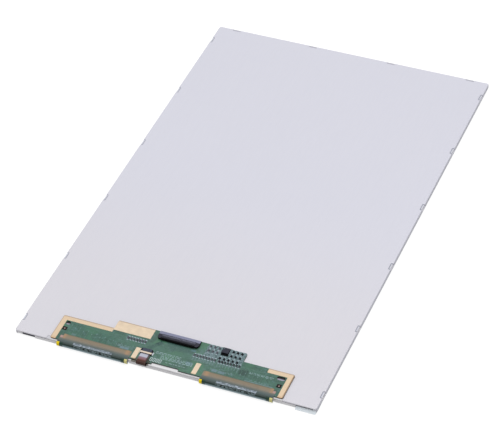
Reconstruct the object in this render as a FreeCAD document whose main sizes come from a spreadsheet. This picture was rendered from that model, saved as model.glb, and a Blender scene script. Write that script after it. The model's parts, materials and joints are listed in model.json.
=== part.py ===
import FreeCAD, Part
import os
from types import SimpleNamespace

import Sketcher
from FreeCAD import Vector

# A tablet's display module, lying face down. X runs along the short edge, Y along the long edge
# with the driver board at the -Y end, and Z points up, out of the back. The origin is the centre
# of the front face. All sizes are millimetres.

SIZES = {
    # whole module
    "panel_width": 142.0,
    "panel_length": 229.0,
    "near_lip": 0.45,
    # thickness of each layer, front to back
    "film_thick": 0.06,
    "polarizer_thick": 0.13,
    "glass_thick": 0.30,
    "rim_tape_thick": 0.05,
    "prism_thick": 0.12,
    "diffuser_thick": 0.10,
    "guide_thick": 0.50,
    "reflector_thick": 0.15,
    "plate_thick": 0.25,
    # display cell
    "cell_gap": 0.10,
    "ledge_depth": 4.0,
    "polarizer_inset": 0.5,
    "film_inset": 0.3,
    "pull_tab_width": 9.6,
    "pull_tab_reach": 0.75,
    "pull_tab_corner": 0.9,
    # mould frame
    "frame_fit": 0.05,
    "frame_rail": 1.9,
    "frame_lip": 0.40,
    "frame_lip_drop": 0.65,
    "frame_corner_keep": 3.7,
    "lamp_wall": 1.65,
    "lamp_shelf": 4.2,
    "apron_lift": 0.06,
    "apron_height": 1.3,
    "near_rail_height": 0.6,
    "film_relief": 0.1,
    "edge_tape_thick": 0.05,
    "edge_tape_inset": 5.9,
    "left_edge_tape": 6.0,
    "right_edge_tape": 7.8,
    "right_tape_height": 0.65,
    # backlight
    "sheet_gap": 0.10,
    "rim_tape_overlap": 0.8,
    "flex_thick": 0.10,
    "lamp_count": 36,
    "lamp_width": 2.6,
    "lamp_depth": 1.0,
    "lamp_gap": 0.15,
    # back plate
    "plate_corner": 1.0,
    "plate_bend": 0.35,
    "side_lift": 0.09,
    "near_drop": 0.5,
    "near_opening_margin": 0.9,
    "near_setback": 1.75,
    "notch_count": 6,
    "notch_first": 8.75,
    "notch_last": 11.45,
    "notch_length": 4.3,
    "notch_depth": 1.25,
    "notch_corner": 0.5,
    "notch_drop": 1.0,
    "notch_gap": 0.15,
    "far_notch_count": 4,
    "far_notch_inset": 9.5,
    # driver board
    "board_tape_thick": 0.06,
    "board_tape_inset": 8.0,
    "tape_ear_inset": 0.6,
    "tape_ear_rise": 0.2,
    "board_thick": 0.50,
    "board_offset": 0.7,
    "board_edge_inset": 0.55,
    "board_end_gap": 16.25,
    "wing_depth": 14.5,
    "raised_depth": 5.0,
    "board_corner": 0.7,
    "cutout_width": 12.6,
    "cutout_depth": 1.0,
    "hole_diameter": 2.2,
    "slot_length": 3.8,
    "hole_strap_gap": 0.25,
    "slot_strap_gap": 0.5,
    "hole_from_edge": 10.6,
    # bare plated fields
    "plating_thick": 0.03,
    "strap_width": 2.5,
    "end_strap_length": 11.9,
    "strap_block_length": 17.7,
    "strap_block_depth": 6.0,
    "strap_block_gap": 2.7,
    "inner_pad_width": 2.2,
    "inner_pad_length": 6.6,
    "inner_pad_from_edge": 0.5,
    "left_pad_gap": 0.7,
    "right_pad_gap": 2.6,
    # driver films and chips
    "film_span": 33.8,
    "film_end_inset": 4.0,
    "flex_film_thick": 0.05,
    "film_on_board": 4.0,
    "film_on_glass": 1.5,
    "film_bend": 0.75,
    "film_edge_gap": 1.35,
    "driver_chip_length": 18.6,
    "driver_chip_depth": 1.4,
    "driver_chip_thick": 0.18,
    # flip-lock connectors
    "contact_pitch": 0.5,
    "contact_width": 0.2,
    "contact_thick": 0.10,
    "contact_foot": 0.5,
    "contact_setback": 0.3,
    "connector_floor": 0.20,
    "connector_slot": 0.35,
    "connector_roof": 0.35,
    "slot_spare": 0.6,
    "lock_thick": 0.40,
    "lock_bevel": 0.15,
    "lock_gap": 0.10,
    "lock_overhang": 0.35,
    "hinge_radius": 0.12,
    "hinge_length": 0.25,
    "hinge_play": 0.05,
    "ear_wall": 0.08,
    "tab_thick": 0.12,
    "tab_foot": 0.15,
    "tab_height": 0.55,
    "tab_length": 1.3,
    "panel_contacts": 31,
    "panel_ear": 1.6,
    "panel_depth": 4.2,
    "panel_corner": 1.2,
    "panel_roof_depth": 1.5,
    "panel_shift": 0.35,
    "panel_setback": 0.6,
    "light_contacts": 8,
    "light_depth": 2.5,
    "light_corner": 0.2,
    "light_roof_depth": 0.9,
    "light_pad_gap": 0.40,
    "light_from_edge": 4.2,
    # backlight flex tail
    "tail_fit": 0.08,
    "tail_insert": 0.8,
    "tail_bend": 0.75,
    "tail_reach": 0.75,
    "tail_slot_gap": 0.3,
    # small parts
    "power_chip_width": 3.3,
    "power_chip_depth": 3.1,
    "power_chip_height": 0.8,
    "power_chip_end_gap": 7.65,
    "power_chip_setback": 0.5,
    "chip_length": 1.40,
    "chip_width": 0.70,
    "chip_height": 0.45,
    "chip_cap": 0.30,
    "chip_inset": 0.02,
    "chip_gap": 0.65,
    "chip_setback": 0.7,
    "component_field": 21.4,
    "chip_row_gap": 0.4,
    "left_row_place": 13.9,
    "right_row_place": 9.4,
    "row_break": 0.7,
}
LEFT_ROW_COUNT = 7
RIGHT_ROW_COUNT = 8
GRID_COLUMNS = 3
LOWER_ROW_COUNT = 5

# Share of half the width that the end of a slot or a lock is rounded by
END_ROUNDING = 0.98

doc = FreeCAD.newDocument("tablet_lcd_screen")
nodes = []


class Size:
    """A number with the formula that ties it to the sheet's named cells."""

    def __init__(self, number, formula):
        self.number = float(number)
        self.formula = formula

    def __add__(self, other):
        other = as_size(other)
        return Size(self.number + other.number, f"({self.formula} + {other.formula})")

    def __sub__(self, other):
        other = as_size(other)
        return Size(self.number - other.number, f"({self.formula} - {other.formula})")

    def __mul__(self, other):
        other = as_size(other)
        return Size(self.number * other.number, f"({self.formula} * {other.formula})")

    def __truediv__(self, other):
        other = as_size(other)
        return Size(self.number / other.number, f"({self.formula} / {other.formula})")

    def __neg__(self):
        return Size(-self.number, f"(-1 * {self.formula})")


def as_size(value):
    return value if isinstance(value, Size) else Size(value, repr(value))


def fill_sheet():
    """The named cells, and the same names as sizes to build formulas from."""
    sheet = doc.addObject("Spreadsheet::Sheet", "Sizes")
    for row, (alias, value) in enumerate(SIZES.items(), start=1):
        sheet.set(f"A{row}", alias)
        sheet.set(f"B{row}", str(value))
        sheet.setAlias(f"B{row}", alias)
    doc.recompute()
    return SimpleNamespace(**{alias: Size(value, f"Sizes.{alias}") for alias, value in SIZES.items()})


S = fill_sheet()

# Outline of the module, which has a lip past the near end of the cell
HALF_WIDTH = S.panel_width / 2
FAR = S.panel_length / 2
NEAR = -(FAR + S.near_lip)

# Levels of the layers, from the front face up
POLARIZER_Z = S.film_thick
FILTER_Z = POLARIZER_Z + S.polarizer_thick
ARRAY_Z = FILTER_Z + S.glass_thick
REAR_POLARIZER_Z = ARRAY_Z + S.glass_thick
RIM_TAPE_Z = REAR_POLARIZER_Z + S.polarizer_thick
SHELF_Z = RIM_TAPE_Z + S.rim_tape_thick
REAR_PRISM_Z = SHELF_Z + S.prism_thick
DIFFUSER_Z = REAR_PRISM_Z + S.prism_thick
GUIDE_Z = DIFFUSER_Z + S.diffuser_thick
REFLECTOR_Z = GUIDE_Z + S.guide_thick
PLATE_Z = REFLECTOR_Z + S.reflector_thick
BACK_Z = PLATE_Z + S.plate_thick
BOARD_Z = BACK_Z + S.board_tape_thick
BOARD_TOP = BOARD_Z + S.board_thick
LAMP_FLEX_Z = GUIDE_Z - S.flex_thick

# Mould frame inside the folded plate, and the cell inside the frame
FRAME_HALF = HALF_WIDTH - S.plate_thick - S.frame_fit
FRAME_FAR = FAR - S.plate_thick - S.frame_fit
FRAME_NEAR = NEAR + S.plate_thick + S.frame_fit
FRAME_BOTTOM = SHELF_Z - S.frame_lip_drop
PLATE_BOTTOM = FRAME_BOTTOM + S.side_lift
SIDE_DROP = BACK_Z - PLATE_BOTTOM
CELL_HALF = FRAME_HALF - S.frame_lip - S.cell_gap
CELL_FAR = FRAME_FAR - S.frame_lip - S.cell_gap
CELL_NEAR = -CELL_FAR
FILTER_NEAR = CELL_NEAR + S.ledge_depth

# Light box: the window that holds the sheets, and the channel of the lamps beside it
WINDOW_HALF = FRAME_HALF - S.frame_rail
WINDOW_FAR = FRAME_FAR - S.frame_rail
CHANNEL_NEAR = FRAME_NEAR + S.lamp_wall
WINDOW_NEAR = CHANNEL_NEAR + S.lamp_shelf
SHEET_HALF = WINDOW_HALF - S.sheet_gap
SHEET_FAR = WINDOW_FAR - S.sheet_gap
SHEET_NEAR = WINDOW_NEAR + S.sheet_gap
LAMP_NEAR = CHANNEL_NEAR + S.lamp_gap
GUIDE_NEAR = LAMP_NEAR + S.lamp_depth + S.lamp_gap

# Connectors
CONTACT_TOP = S.connector_floor + S.contact_thick
CONNECTOR_HEIGHT = CONTACT_TOP + S.connector_slot + S.connector_roof
PANEL_SLOT = S.panel_contacts * S.contact_pitch + S.slot_spare
PANEL_HALF = PANEL_SLOT / 2 + S.panel_ear
LIGHT_SLOT = S.light_contacts * S.contact_pitch + S.slot_spare
LIGHT_HALF = LIGHT_SLOT / 2 + S.hinge_length + S.hinge_play + S.ear_wall
TAB_REACH = S.tab_thick + S.tab_foot
TAIL_WIDTH = LIGHT_SLOT - S.tail_fit * 2

# Driver board: X from its own middle, Y from its own near edge
BOARD_NEAR = NEAR + S.board_edge_inset
BOARD_HALF = HALF_WIDTH - S.board_end_gap
FILM_INNER = BOARD_HALF - S.film_end_inset - S.film_span
RAISED_TOP = S.wing_depth + S.raised_depth
RAISED_LEFT = -(S.panel_shift + PANEL_HALF + S.strap_block_gap + S.strap_block_length)
RAISED_RIGHT = PANEL_HALF - S.panel_shift + S.component_field
LEFT_PAD_RIGHT = -(FILM_INNER - S.left_pad_gap - S.inner_pad_width)
RIGHT_PAD_LEFT = FILM_INNER - S.right_pad_gap - S.inner_pad_width
LIGHT_X = LEFT_PAD_RIGHT + S.light_pad_gap + TAB_REACH + LIGHT_HALF
NEAR_OPENING = BOARD_HALF + S.near_opening_margin
EDGE_TAPE_START = NEAR_OPENING + S.edge_tape_inset

# Hook windows along the long edges and the far edge
SIDE_NOTCH = NEAR + S.notch_first
SIDE_NOTCH_PITCH = (FAR - NEAR - S.notch_first - S.notch_last) / (S.notch_count - 1)
FAR_NOTCH = S.far_notch_inset - HALF_WIDTH
FAR_NOTCH_PITCH = (S.panel_width - S.far_notch_inset * 2) / (S.far_notch_count - 1)


def bind(item, **sizes):
    """Tie properties to the sheet; a double underscore stands for a dot in the path."""
    for path, size in sizes.items():
        item.setExpression(path.replace("__", "."), as_size(size).formula)


def place(item, x=0, y=0, z=0):
    bind(item, Placement__Base__x=x, Placement__Base__y=y, Placement__Base__z=z)


def keep(item, label):
    item.Label = label
    nodes.append(item)
    return item


def origin_feature(body, role):
    return next(feature for feature in body.Origin.OriginFeatures if feature.Role == role)


def new_body(label):
    return keep(doc.addObject("PartDesign::Body", label), label)


def new_sketch(body, role, offset=0):
    sketch = body.newObject("Sketcher::SketchObject", f"{body.Name}_sketch")
    sketch.AttachmentSupport = [(origin_feature(body, role), "")]
    sketch.MapMode = "FlatFace"
    bind(sketch, AttachmentOffset__Base__z=offset)
    return sketch


def fix(sketch, kind, *target, size):
    number = sketch.addConstraint(Sketcher.Constraint(kind, *target, size.number))
    sketch.setExpression(f"Constraints[{number}]", size.formula)


def outline(sketch, *corners):
    """A closed outline of level and upright lines through (x, y) or rounded (x, y, radius) corners."""
    corners = [tuple(as_size(value) for value in corner) for corner in corners]
    count = len(corners)
    first = sketch.GeometryCount
    points = [Vector(corner[0].number, corner[1].number, 0) for corner in corners]
    radii = [corner[2] if len(corner) > 2 else None for corner in corners]
    steps = [(points[(i + 1) % count] - points[i]).normalize() for i in range(count)]
    starts = []
    ends = []
    for i in range(count):
        reach = radii[i].number if radii[i] else 0.0
        starts.append(points[i] + steps[i] * reach)
        ends.append(points[i] - steps[i - 1] * reach)
    sketch.addGeometry([Part.LineSegment(starts[i], ends[(i + 1) % count]) for i in range(count)])
    for i in range(count):
        upright = abs(steps[i].x) < abs(steps[i].y)
        sketch.addConstraint(Sketcher.Constraint("Vertical" if upright else "Horizontal", first + i))
        kind = "DistanceX" if upright else "DistanceY"
        fix(sketch, kind, -1, 1, first + i, 1, size=corners[i][0 if upright else 1])
    for i in range(count):
        before = first + (i - 1) % count
        after = first + i
        if radii[i] is None:
            sketch.addConstraint(Sketcher.Constraint("Coincident", before, 2, after, 1))
            continue
        middle = points[i] + (steps[i] - steps[i - 1]) * radii[i].number * (1 - 0.5 ** 0.5)
        arc = sketch.addGeometry(Part.Arc(ends[i], middle, starts[i]))
        left_turn = steps[i - 1].cross(steps[i]).z > 0
        arc_start, arc_end = (1, 2) if left_turn else (2, 1)
        sketch.addConstraint(Sketcher.Constraint("Tangent", before, 2, arc, arc_start))
        sketch.addConstraint(Sketcher.Constraint("Tangent", arc, arc_end, after, 1))
        fix(sketch, "Radius", arc, size=radii[i])


def rectangle(sketch, left, right, low, high, radius=None):
    corners = [(left, low), (right, low), (right, high), (left, high)]
    outline(sketch, *[corner + (radius,) if radius else corner for corner in corners])


def circle(sketch, x, y, radius):
    x, y = as_size(x), as_size(y)
    centre = Vector(x.number, y.number, 0)
    number = sketch.addGeometry(Part.Circle(centre, Vector(0, 0, 1), radius.number))
    fix(sketch, "DistanceX", -1, 1, number, 3, size=x)
    fix(sketch, "DistanceY", -1, 1, number, 3, size=y)
    fix(sketch, "Radius", number, size=radius)


def pad(body, sketch, length, symmetric=False):
    feature = body.newObject("PartDesign::Pad", f"{body.Name}_pad")
    feature.Profile = sketch
    feature.Midplane = symmetric
    bind(feature, Length=length)
    return feature


def pocket(body, sketch, length, symmetric=False, upward=False):
    """A cut from the sketch downwards, upwards, or to both sides of it."""
    feature = body.newObject("PartDesign::Pocket", f"{body.Name}_pocket")
    feature.Profile = sketch
    feature.Midplane = symmetric
    feature.Reversed = upward
    bind(feature, Length=length)
    return feature


def repeat(body, feature, axis, count, pitch):
    pattern = body.newObject("PartDesign::LinearPattern", f"{body.Name}_row")
    pattern.Originals = [feature]
    pattern.Direction = (origin_feature(body, axis), [""])
    bind(pattern, Length=(count - 1) * pitch, Occurrences=count)
    body.Tip = pattern


def box(name, left, right, near, far, bottom, height):
    item = doc.addObject("Part::Box", name)
    bind(item, Length=as_size(right) - left, Width=as_size(far) - near, Height=height)
    place(item, left, near, bottom)
    return item


def flat_sheet(label, half, near, far, bottom, thick):
    """A plain sheet, centred across the module."""
    keep(box(label, -half, half, near, far, bottom, thick), label)


def group(label, solids):
    compound = doc.addObject("Part::Compound", label)
    compound.Links = solids
    keep(compound, label)


def front_protective_film():
    """The peel-off film on the screen, with its pull tab past the near right corner."""
    body = new_body("front_protective_film")
    half = CELL_HALF - S.film_inset
    near = FILTER_NEAR + S.film_inset
    far = CELL_FAR - S.film_inset
    tab_left = HALF_WIDTH - S.pull_tab_width
    tab_near = NEAR - S.pull_tab_reach
    sketch = new_sketch(body, "XY_Plane")
    outline(sketch, (-half, near), (tab_left, near), (tab_left, tab_near, S.pull_tab_corner),
            (HALF_WIDTH, tab_near, S.pull_tab_corner), (HALF_WIDTH, near), (half, near), (half, far),
            (-half, far))
    pad(body, sketch, S.film_thick)


def display_cell():
    """Two glasses face to face, the array glass longer by the ledge, with a polarizer on each side."""
    polarizer_half = CELL_HALF - S.polarizer_inset
    polarizer_near = FILTER_NEAR + S.polarizer_inset
    polarizer_far = CELL_FAR - S.polarizer_inset
    flat_sheet("front_polarizer", polarizer_half, polarizer_near, polarizer_far, POLARIZER_Z,
               S.polarizer_thick)
    flat_sheet("colour_filter_glass", CELL_HALF, FILTER_NEAR, CELL_FAR, FILTER_Z, S.glass_thick)
    flat_sheet("array_glass", CELL_HALF, CELL_NEAR, CELL_FAR, ARRAY_Z, S.glass_thick)
    flat_sheet("rear_polarizer", polarizer_half, polarizer_near, polarizer_far, REAR_POLARIZER_Z,
               S.polarizer_thick)


def rim_tape():
    """The adhesive rim that joins the cell to the mould frame and shades the edge of the light."""
    body = new_body("rim_tape")
    half = CELL_HALF - S.polarizer_inset
    window_half = WINDOW_HALF - S.rim_tape_overlap
    sketch = new_sketch(body, "XY_Plane", RIM_TAPE_Z)
    rectangle(sketch, -half, half, CELL_NEAR + S.polarizer_inset, CELL_FAR - S.polarizer_inset)
    rectangle(sketch, -window_half, window_half, WINDOW_NEAR + S.rim_tape_overlap,
              WINDOW_FAR - S.rim_tape_overlap)
    pad(body, sketch, S.rim_tape_thick)


def light_sheets():
    """Prism sheets, diffuser, light guide and reflector, in their order from the cell to the plate."""
    flat_sheet("front_prism_sheet", SHEET_HALF, SHEET_NEAR, SHEET_FAR, SHELF_Z, S.prism_thick)
    flat_sheet("rear_prism_sheet", SHEET_HALF, SHEET_NEAR, SHEET_FAR, REAR_PRISM_Z, S.prism_thick)
    flat_sheet("diffuser_sheet", SHEET_HALF, SHEET_NEAR, SHEET_FAR, DIFFUSER_Z, S.diffuser_thick)
    flat_sheet("light_guide_plate", SHEET_HALF, GUIDE_NEAR, SHEET_FAR, GUIDE_Z, S.guide_thick)
    flat_sheet("reflector_sheet", SHEET_HALF, CHANNEL_NEAR + S.sheet_gap, SHEET_FAR, REFLECTOR_Z,
               S.reflector_thick)


def wrapped_strip(sketch, start, top, outer, bottom, end, thick, bend):
    """A thin strip that runs out at the top level, turns down at outer and runs back in at the bottom."""
    skin = thick / 2
    outline(sketch, (start, top + skin), (outer - skin, top + skin, bend + skin),
            (outer - skin, bottom - skin, bend + skin), (end, bottom - skin), (end, bottom + skin),
            (outer + skin, bottom + skin, bend - skin), (outer + skin, top - skin, bend - skin),
            (start, top - skin))


def backlight_flex():
    """The lamp strip under the edge of the light guide, and its tail round the near edge to the board."""
    body = new_body("backlight_flex")
    near = CHANNEL_NEAR + S.sheet_gap
    strip = new_sketch(body, "XY_Plane", LAMP_FLEX_Z)
    rectangle(strip, -SHEET_HALF, SHEET_HALF, near, WINDOW_NEAR - S.sheet_gap)
    pad(body, strip, S.flex_thick)
    tail = new_sketch(body, "YZ_Plane", S.board_offset + LIGHT_X)
    middle = S.flex_thick / 2
    wrapped_strip(tail, BOARD_NEAR + S.light_from_edge + S.tail_insert, BOARD_TOP + CONTACT_TOP + middle,
                  NEAR - S.tail_reach, LAMP_FLEX_Z + middle, near + S.lamp_depth, S.flex_thick, S.tail_bend)
    pad(body, tail, TAIL_WIDTH, symmetric=True)


def backlight_lamps():
    """The row of side-emitting lamps that shines into the near edge of the light guide."""
    body = new_body("backlight_lamps")
    pitch = SHEET_HALF * 2 / S.lamp_count
    first = -pitch * (S.lamp_count - 1) / 2
    sketch = new_sketch(body, "XY_Plane", GUIDE_Z)
    rectangle(sketch, first - S.lamp_width / 2, first + S.lamp_width / 2, LAMP_NEAR, LAMP_NEAR + S.lamp_depth)
    repeat(body, pad(body, sketch, S.guide_thick), "X_Axis", S.lamp_count, pitch)


def side_notches(sketch, depth_from, edge, length):
    """The first notch at each long edge, open to the outside."""
    low = SIDE_NOTCH - length / 2
    high = SIDE_NOTCH + length / 2
    for side in (1, -1):
        outline(sketch, (edge * side, low), (edge * side, high),
                (depth_from * side, high, S.notch_corner), (depth_from * side, low, S.notch_corner))


def far_notch(sketch, depth_from, edge, length):
    """The first notch at the far edge."""
    left = FAR_NOTCH - length / 2
    right = FAR_NOTCH + length / 2
    outline(sketch, (left, depth_from, S.notch_corner), (right, depth_from, S.notch_corner),
            (right, edge), (left, edge))


def mould_frame():
    """The plastic rim: a lip round the cell, a shelf, a window for the sheets, and hooks on its back."""
    body = new_body("mould_frame")
    rim = new_sketch(body, "XY_Plane", FRAME_BOTTOM)
    rectangle(rim, -FRAME_HALF, FRAME_HALF, FRAME_NEAR, FRAME_FAR, S.plate_corner - S.plate_thick)
    pad(body, rim, PLATE_Z - FRAME_BOTTOM)
    cell = new_sketch(body, "XY_Plane", FRAME_BOTTOM)
    pocket_half = FRAME_HALF - S.frame_lip
    rectangle(cell, -pocket_half, pocket_half, CELL_NEAR - S.cell_gap, FRAME_FAR - S.frame_lip)
    pocket(body, cell, S.frame_lip_drop, upward=True)
    open_lip = new_sketch(body, "XY_Plane", FRAME_BOTTOM)
    open_half = FRAME_HALF - S.frame_corner_keep
    rectangle(open_lip, -open_half, open_half, NEAR, CELL_NEAR)
    pocket(body, open_lip, S.frame_lip_drop, upward=True)
    window = new_sketch(body, "XY_Plane", PLATE_Z)
    rectangle(window, -WINDOW_HALF, WINDOW_HALF, WINDOW_NEAR, WINDOW_FAR)
    pocket(body, window, PLATE_Z - SHELF_Z)
    channel = new_sketch(body, "XY_Plane", PLATE_Z)
    rectangle(channel, -WINDOW_HALF, WINDOW_HALF, CHANNEL_NEAR, WINDOW_NEAR + S.lamp_shelf)
    pocket(body, channel, PLATE_Z - LAMP_FLEX_Z)
    hook_length = S.notch_length - S.notch_gap * 2
    hook_inset = S.notch_depth - S.notch_gap
    hook = new_sketch(body, "XY_Plane", PLATE_Z)
    side_notches(hook, HALF_WIDTH - hook_inset, FRAME_HALF, hook_length)
    repeat(body, pad(body, hook, S.plate_thick), "Y_Axis", S.notch_count, SIDE_NOTCH_PITCH)
    far_hook = new_sketch(body, "XY_Plane", PLATE_Z)
    far_notch(far_hook, FAR - hook_inset, FRAME_FAR, hook_length)
    repeat(body, pad(body, far_hook, S.plate_thick), "X_Axis", S.far_notch_count, FAR_NOTCH_PITCH)
    near_side(body)


def near_side(body):
    """The frame's near side: a rail level with the back, an apron below it, and room for the flexes."""
    outside = NEAR - S.tail_reach
    rail = new_sketch(body, "XY_Plane", BACK_Z - S.near_rail_height)
    rail_half = NEAR_OPENING - S.notch_gap
    rectangle(rail, -rail_half, rail_half, NEAR, NEAR + S.near_setback - S.notch_gap)
    pad(body, rail, S.near_rail_height)
    apron = new_sketch(body, "XY_Plane", S.apron_lift)
    apron_half = EDGE_TAPE_START - S.notch_gap
    rectangle(apron, -apron_half, apron_half, NEAR, CELL_NEAR - S.cell_gap)
    pad(body, apron, S.apron_height)
    relief = new_sketch(body, "XY_Plane", S.apron_lift)
    inner = FILM_INNER - S.tail_slot_gap
    outer = FILM_INNER + S.film_span + S.tail_slot_gap
    rectangle(relief, S.board_offset - outer, S.board_offset - inner, outside, CELL_NEAR)
    rectangle(relief, S.board_offset + inner, S.board_offset + outer, outside, CELL_NEAR)
    pocket(body, relief, ARRAY_Z + S.film_relief - S.apron_lift, upward=True)
    tail_slot = new_sketch(body, "XY_Plane", BACK_Z)
    slot_half = TAIL_WIDTH / 2 + S.tail_slot_gap
    slot_x = S.board_offset + LIGHT_X
    rectangle(tail_slot, slot_x - slot_half, slot_x + slot_half, outside, CHANNEL_NEAR + S.lamp_gap)
    pocket(body, tail_slot, BACK_Z - LAMP_FLEX_Z)


def edge_tapes():
    """Two strips of tape on the frame's near wall, one below each end of the plate's near fold."""
    near = FRAME_NEAR - S.edge_tape_thick
    top = BACK_Z - S.near_drop - S.frame_fit
    left = box("left_edge_tape", -(EDGE_TAPE_START + S.left_edge_tape), -EDGE_TAPE_START, near, FRAME_NEAR,
               FRAME_BOTTOM, top - FRAME_BOTTOM)
    right = box("right_edge_tape", EDGE_TAPE_START, EDGE_TAPE_START + S.right_edge_tape, near, FRAME_NEAR,
                top - S.right_tape_height, S.right_tape_height)
    group("edge_tapes", [left, right])


def back_plate():
    """A thin metal tray with rounded folds, hook windows along three edges and an opening at the board."""
    body = new_body("back_plate")
    block = new_sketch(body, "XY_Plane", PLATE_BOTTOM)
    rectangle(block, -HALF_WIDTH, HALF_WIDTH, NEAR, FAR, S.plate_corner)
    tray = pad(body, block, SIDE_DROP)
    doc.recompute()
    fold = body.newObject("PartDesign::Fillet", "fold")
    level = BACK_Z.number
    folded = [f"Edge{i}" for i, edge in enumerate(tray.Shape.Edges, start=1)
              if all(abs(vertex.Z - level) < S.plate_thick.number / 10 for vertex in edge.Vertexes)]
    fold.Base = (tray, folded)
    bind(fold, Radius=S.plate_bend)
    inside = new_sketch(body, "XY_Plane", PLATE_BOTTOM)
    inside_half = HALF_WIDTH - S.plate_thick
    rectangle(inside, -inside_half, inside_half, NEAR + S.plate_thick, FAR - S.plate_thick,
              S.plate_corner - S.plate_thick)
    pocket(body, inside, SIDE_DROP - S.plate_thick, upward=True)
    opening = new_sketch(body, "XY_Plane", BACK_Z)
    outside = NEAR - S.plate_thick
    rectangle(opening, -NEAR_OPENING, NEAR_OPENING, outside, NEAR + S.near_setback)
    pocket(body, opening, SIDE_DROP)
    near_trim = new_sketch(body, "XY_Plane", PLATE_BOTTOM)
    trim_half = HALF_WIDTH - S.plate_corner
    rectangle(near_trim, -trim_half, trim_half, outside, NEAR + S.plate_thick + S.frame_fit)
    pocket(body, near_trim, SIDE_DROP - S.near_drop, upward=True)
    window = new_sketch(body, "XY_Plane", BACK_Z)
    side_notches(window, HALF_WIDTH - S.notch_depth, HALF_WIDTH + S.plate_thick, S.notch_length)
    repeat(body, pocket(body, window, S.notch_drop), "Y_Axis", S.notch_count, SIDE_NOTCH_PITCH)
    far_window = new_sketch(body, "XY_Plane", BACK_Z)
    far_notch(far_window, FAR - S.notch_depth, FAR + S.plate_thick, S.notch_length)
    repeat(body, pocket(body, far_window, S.notch_drop), "X_Axis", S.far_notch_count, FAR_NOTCH_PITCH)


def board_tape():
    """The adhesive sheet that holds the board, with an ear that reaches under half of each locating hole."""
    body = new_body("board_tape")
    half = BOARD_HALF - S.board_tape_inset
    ear_half = BOARD_HALF - S.tape_ear_inset
    near = NEAR + S.near_setback + S.sheet_gap
    ear_near = BOARD_NEAR + S.hole_from_edge + S.tape_ear_rise
    far = BOARD_NEAR + S.wing_depth - S.sheet_gap
    sketch = new_sketch(body, "XY_Plane", BACK_Z)
    outline(sketch, (-half, near), (half, near), (half, ear_near), (ear_half, ear_near), (ear_half, far),
            (-ear_half, far), (-ear_half, ear_near), (-half, ear_near))
    pad(body, sketch, S.board_tape_thick)
    place(body, S.board_offset)


def on_board(body, x=0, y=0, z=0):
    place(body, S.board_offset + x, BOARD_NEAR + y, BOARD_TOP + z)


def driver_board():
    """The long board: two wings, a raised middle for the panel connector and a cut-out at the near edge."""
    body = new_body("driver_board")
    corner = S.board_corner
    cut_half = S.cutout_width / 2
    edge = new_sketch(body, "XY_Plane")
    outline(edge, (-BOARD_HALF, 0, corner), (-cut_half, 0), (-cut_half, S.cutout_depth),
            (cut_half, S.cutout_depth), (cut_half, 0), (BOARD_HALF, 0, corner),
            (BOARD_HALF, S.wing_depth, corner),
            (RAISED_RIGHT, S.wing_depth), (RAISED_RIGHT, RAISED_TOP, corner),
            (RAISED_LEFT, RAISED_TOP, corner), (RAISED_LEFT, S.wing_depth),
            (-BOARD_HALF, S.wing_depth, corner))
    pad(body, edge, S.board_thick)
    holes = new_sketch(body, "XY_Plane", S.board_thick)
    radius = S.hole_diameter / 2
    hole_x = -(BOARD_HALF - S.strap_width - S.hole_strap_gap - radius)
    circle(holes, hole_x, S.hole_from_edge, radius)
    slot_right = BOARD_HALF - S.strap_width - S.slot_strap_gap
    rectangle(holes, slot_right - S.slot_length, slot_right, S.hole_from_edge - radius,
              S.hole_from_edge + radius, radius * END_ROUNDING)
    pocket(body, holes, S.board_thick)
    on_board(body, z=-S.board_thick)


def ground_fields():
    """Bare plated copper: a strap round each wing end, a block beside the panel connector and two pads."""
    body = new_body("ground_fields")
    corner = S.board_corner
    strap_low = S.wing_depth - S.strap_width
    block_low = RAISED_TOP - S.strap_block_depth
    block_right = RAISED_LEFT + S.strap_block_length
    sketch = new_sketch(body, "XY_Plane")
    left_inner = -BOARD_HALF + S.strap_width
    outline(sketch, (-BOARD_HALF, 0, corner), (left_inner, 0), (left_inner, strap_low),
            (RAISED_LEFT, strap_low), (RAISED_LEFT, block_low), (block_right, block_low),
            (block_right, RAISED_TOP), (RAISED_LEFT, RAISED_TOP, corner), (RAISED_LEFT, S.wing_depth),
            (-BOARD_HALF, S.wing_depth, corner))
    right_inner = BOARD_HALF - S.strap_width
    strap_end = BOARD_HALF - S.end_strap_length
    outline(sketch, (right_inner, 0), (BOARD_HALF, 0, corner), (BOARD_HALF, S.wing_depth, corner),
            (strap_end, S.wing_depth), (strap_end, strap_low), (right_inner, strap_low))
    pad_low = S.inner_pad_from_edge
    pad_high = pad_low + S.inner_pad_length
    rectangle(sketch, LEFT_PAD_RIGHT - S.inner_pad_width, LEFT_PAD_RIGHT, pad_low, pad_high)
    rectangle(sketch, RIGHT_PAD_LEFT, RIGHT_PAD_LEFT + S.inner_pad_width, pad_low, pad_high)
    pad(body, sketch, S.plating_thick)
    on_board(body)


def driver_film(side, sign):
    """A flex film from the board round the near edge to the ledge of the array glass, with its chip."""
    middle = S.board_offset + (FILM_INNER + S.film_span / 2) * sign
    skin = S.flex_film_thick / 2
    top = BOARD_TOP + skin
    bottom = ARRAY_Z - skin
    outer = BOARD_NEAR - S.film_edge_gap - S.film_bend
    body = new_body(f"{side}_driver_film")
    sketch = new_sketch(body, "YZ_Plane", middle)
    wrapped_strip(sketch, BOARD_NEAR + S.film_on_board, top, outer, bottom, CELL_NEAR + S.film_on_glass,
                  S.flex_film_thick, S.film_bend)
    pad(body, sketch, S.film_span, symmetric=True)
    chip_half = S.driver_chip_length / 2
    bend_start = outer + S.film_bend
    label = f"{side}_driver_chip"
    keep(box(label, middle - chip_half, middle + chip_half, bend_start, bend_start + S.driver_chip_depth,
             BOARD_TOP + S.flex_film_thick, S.driver_chip_thick), label)


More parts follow.
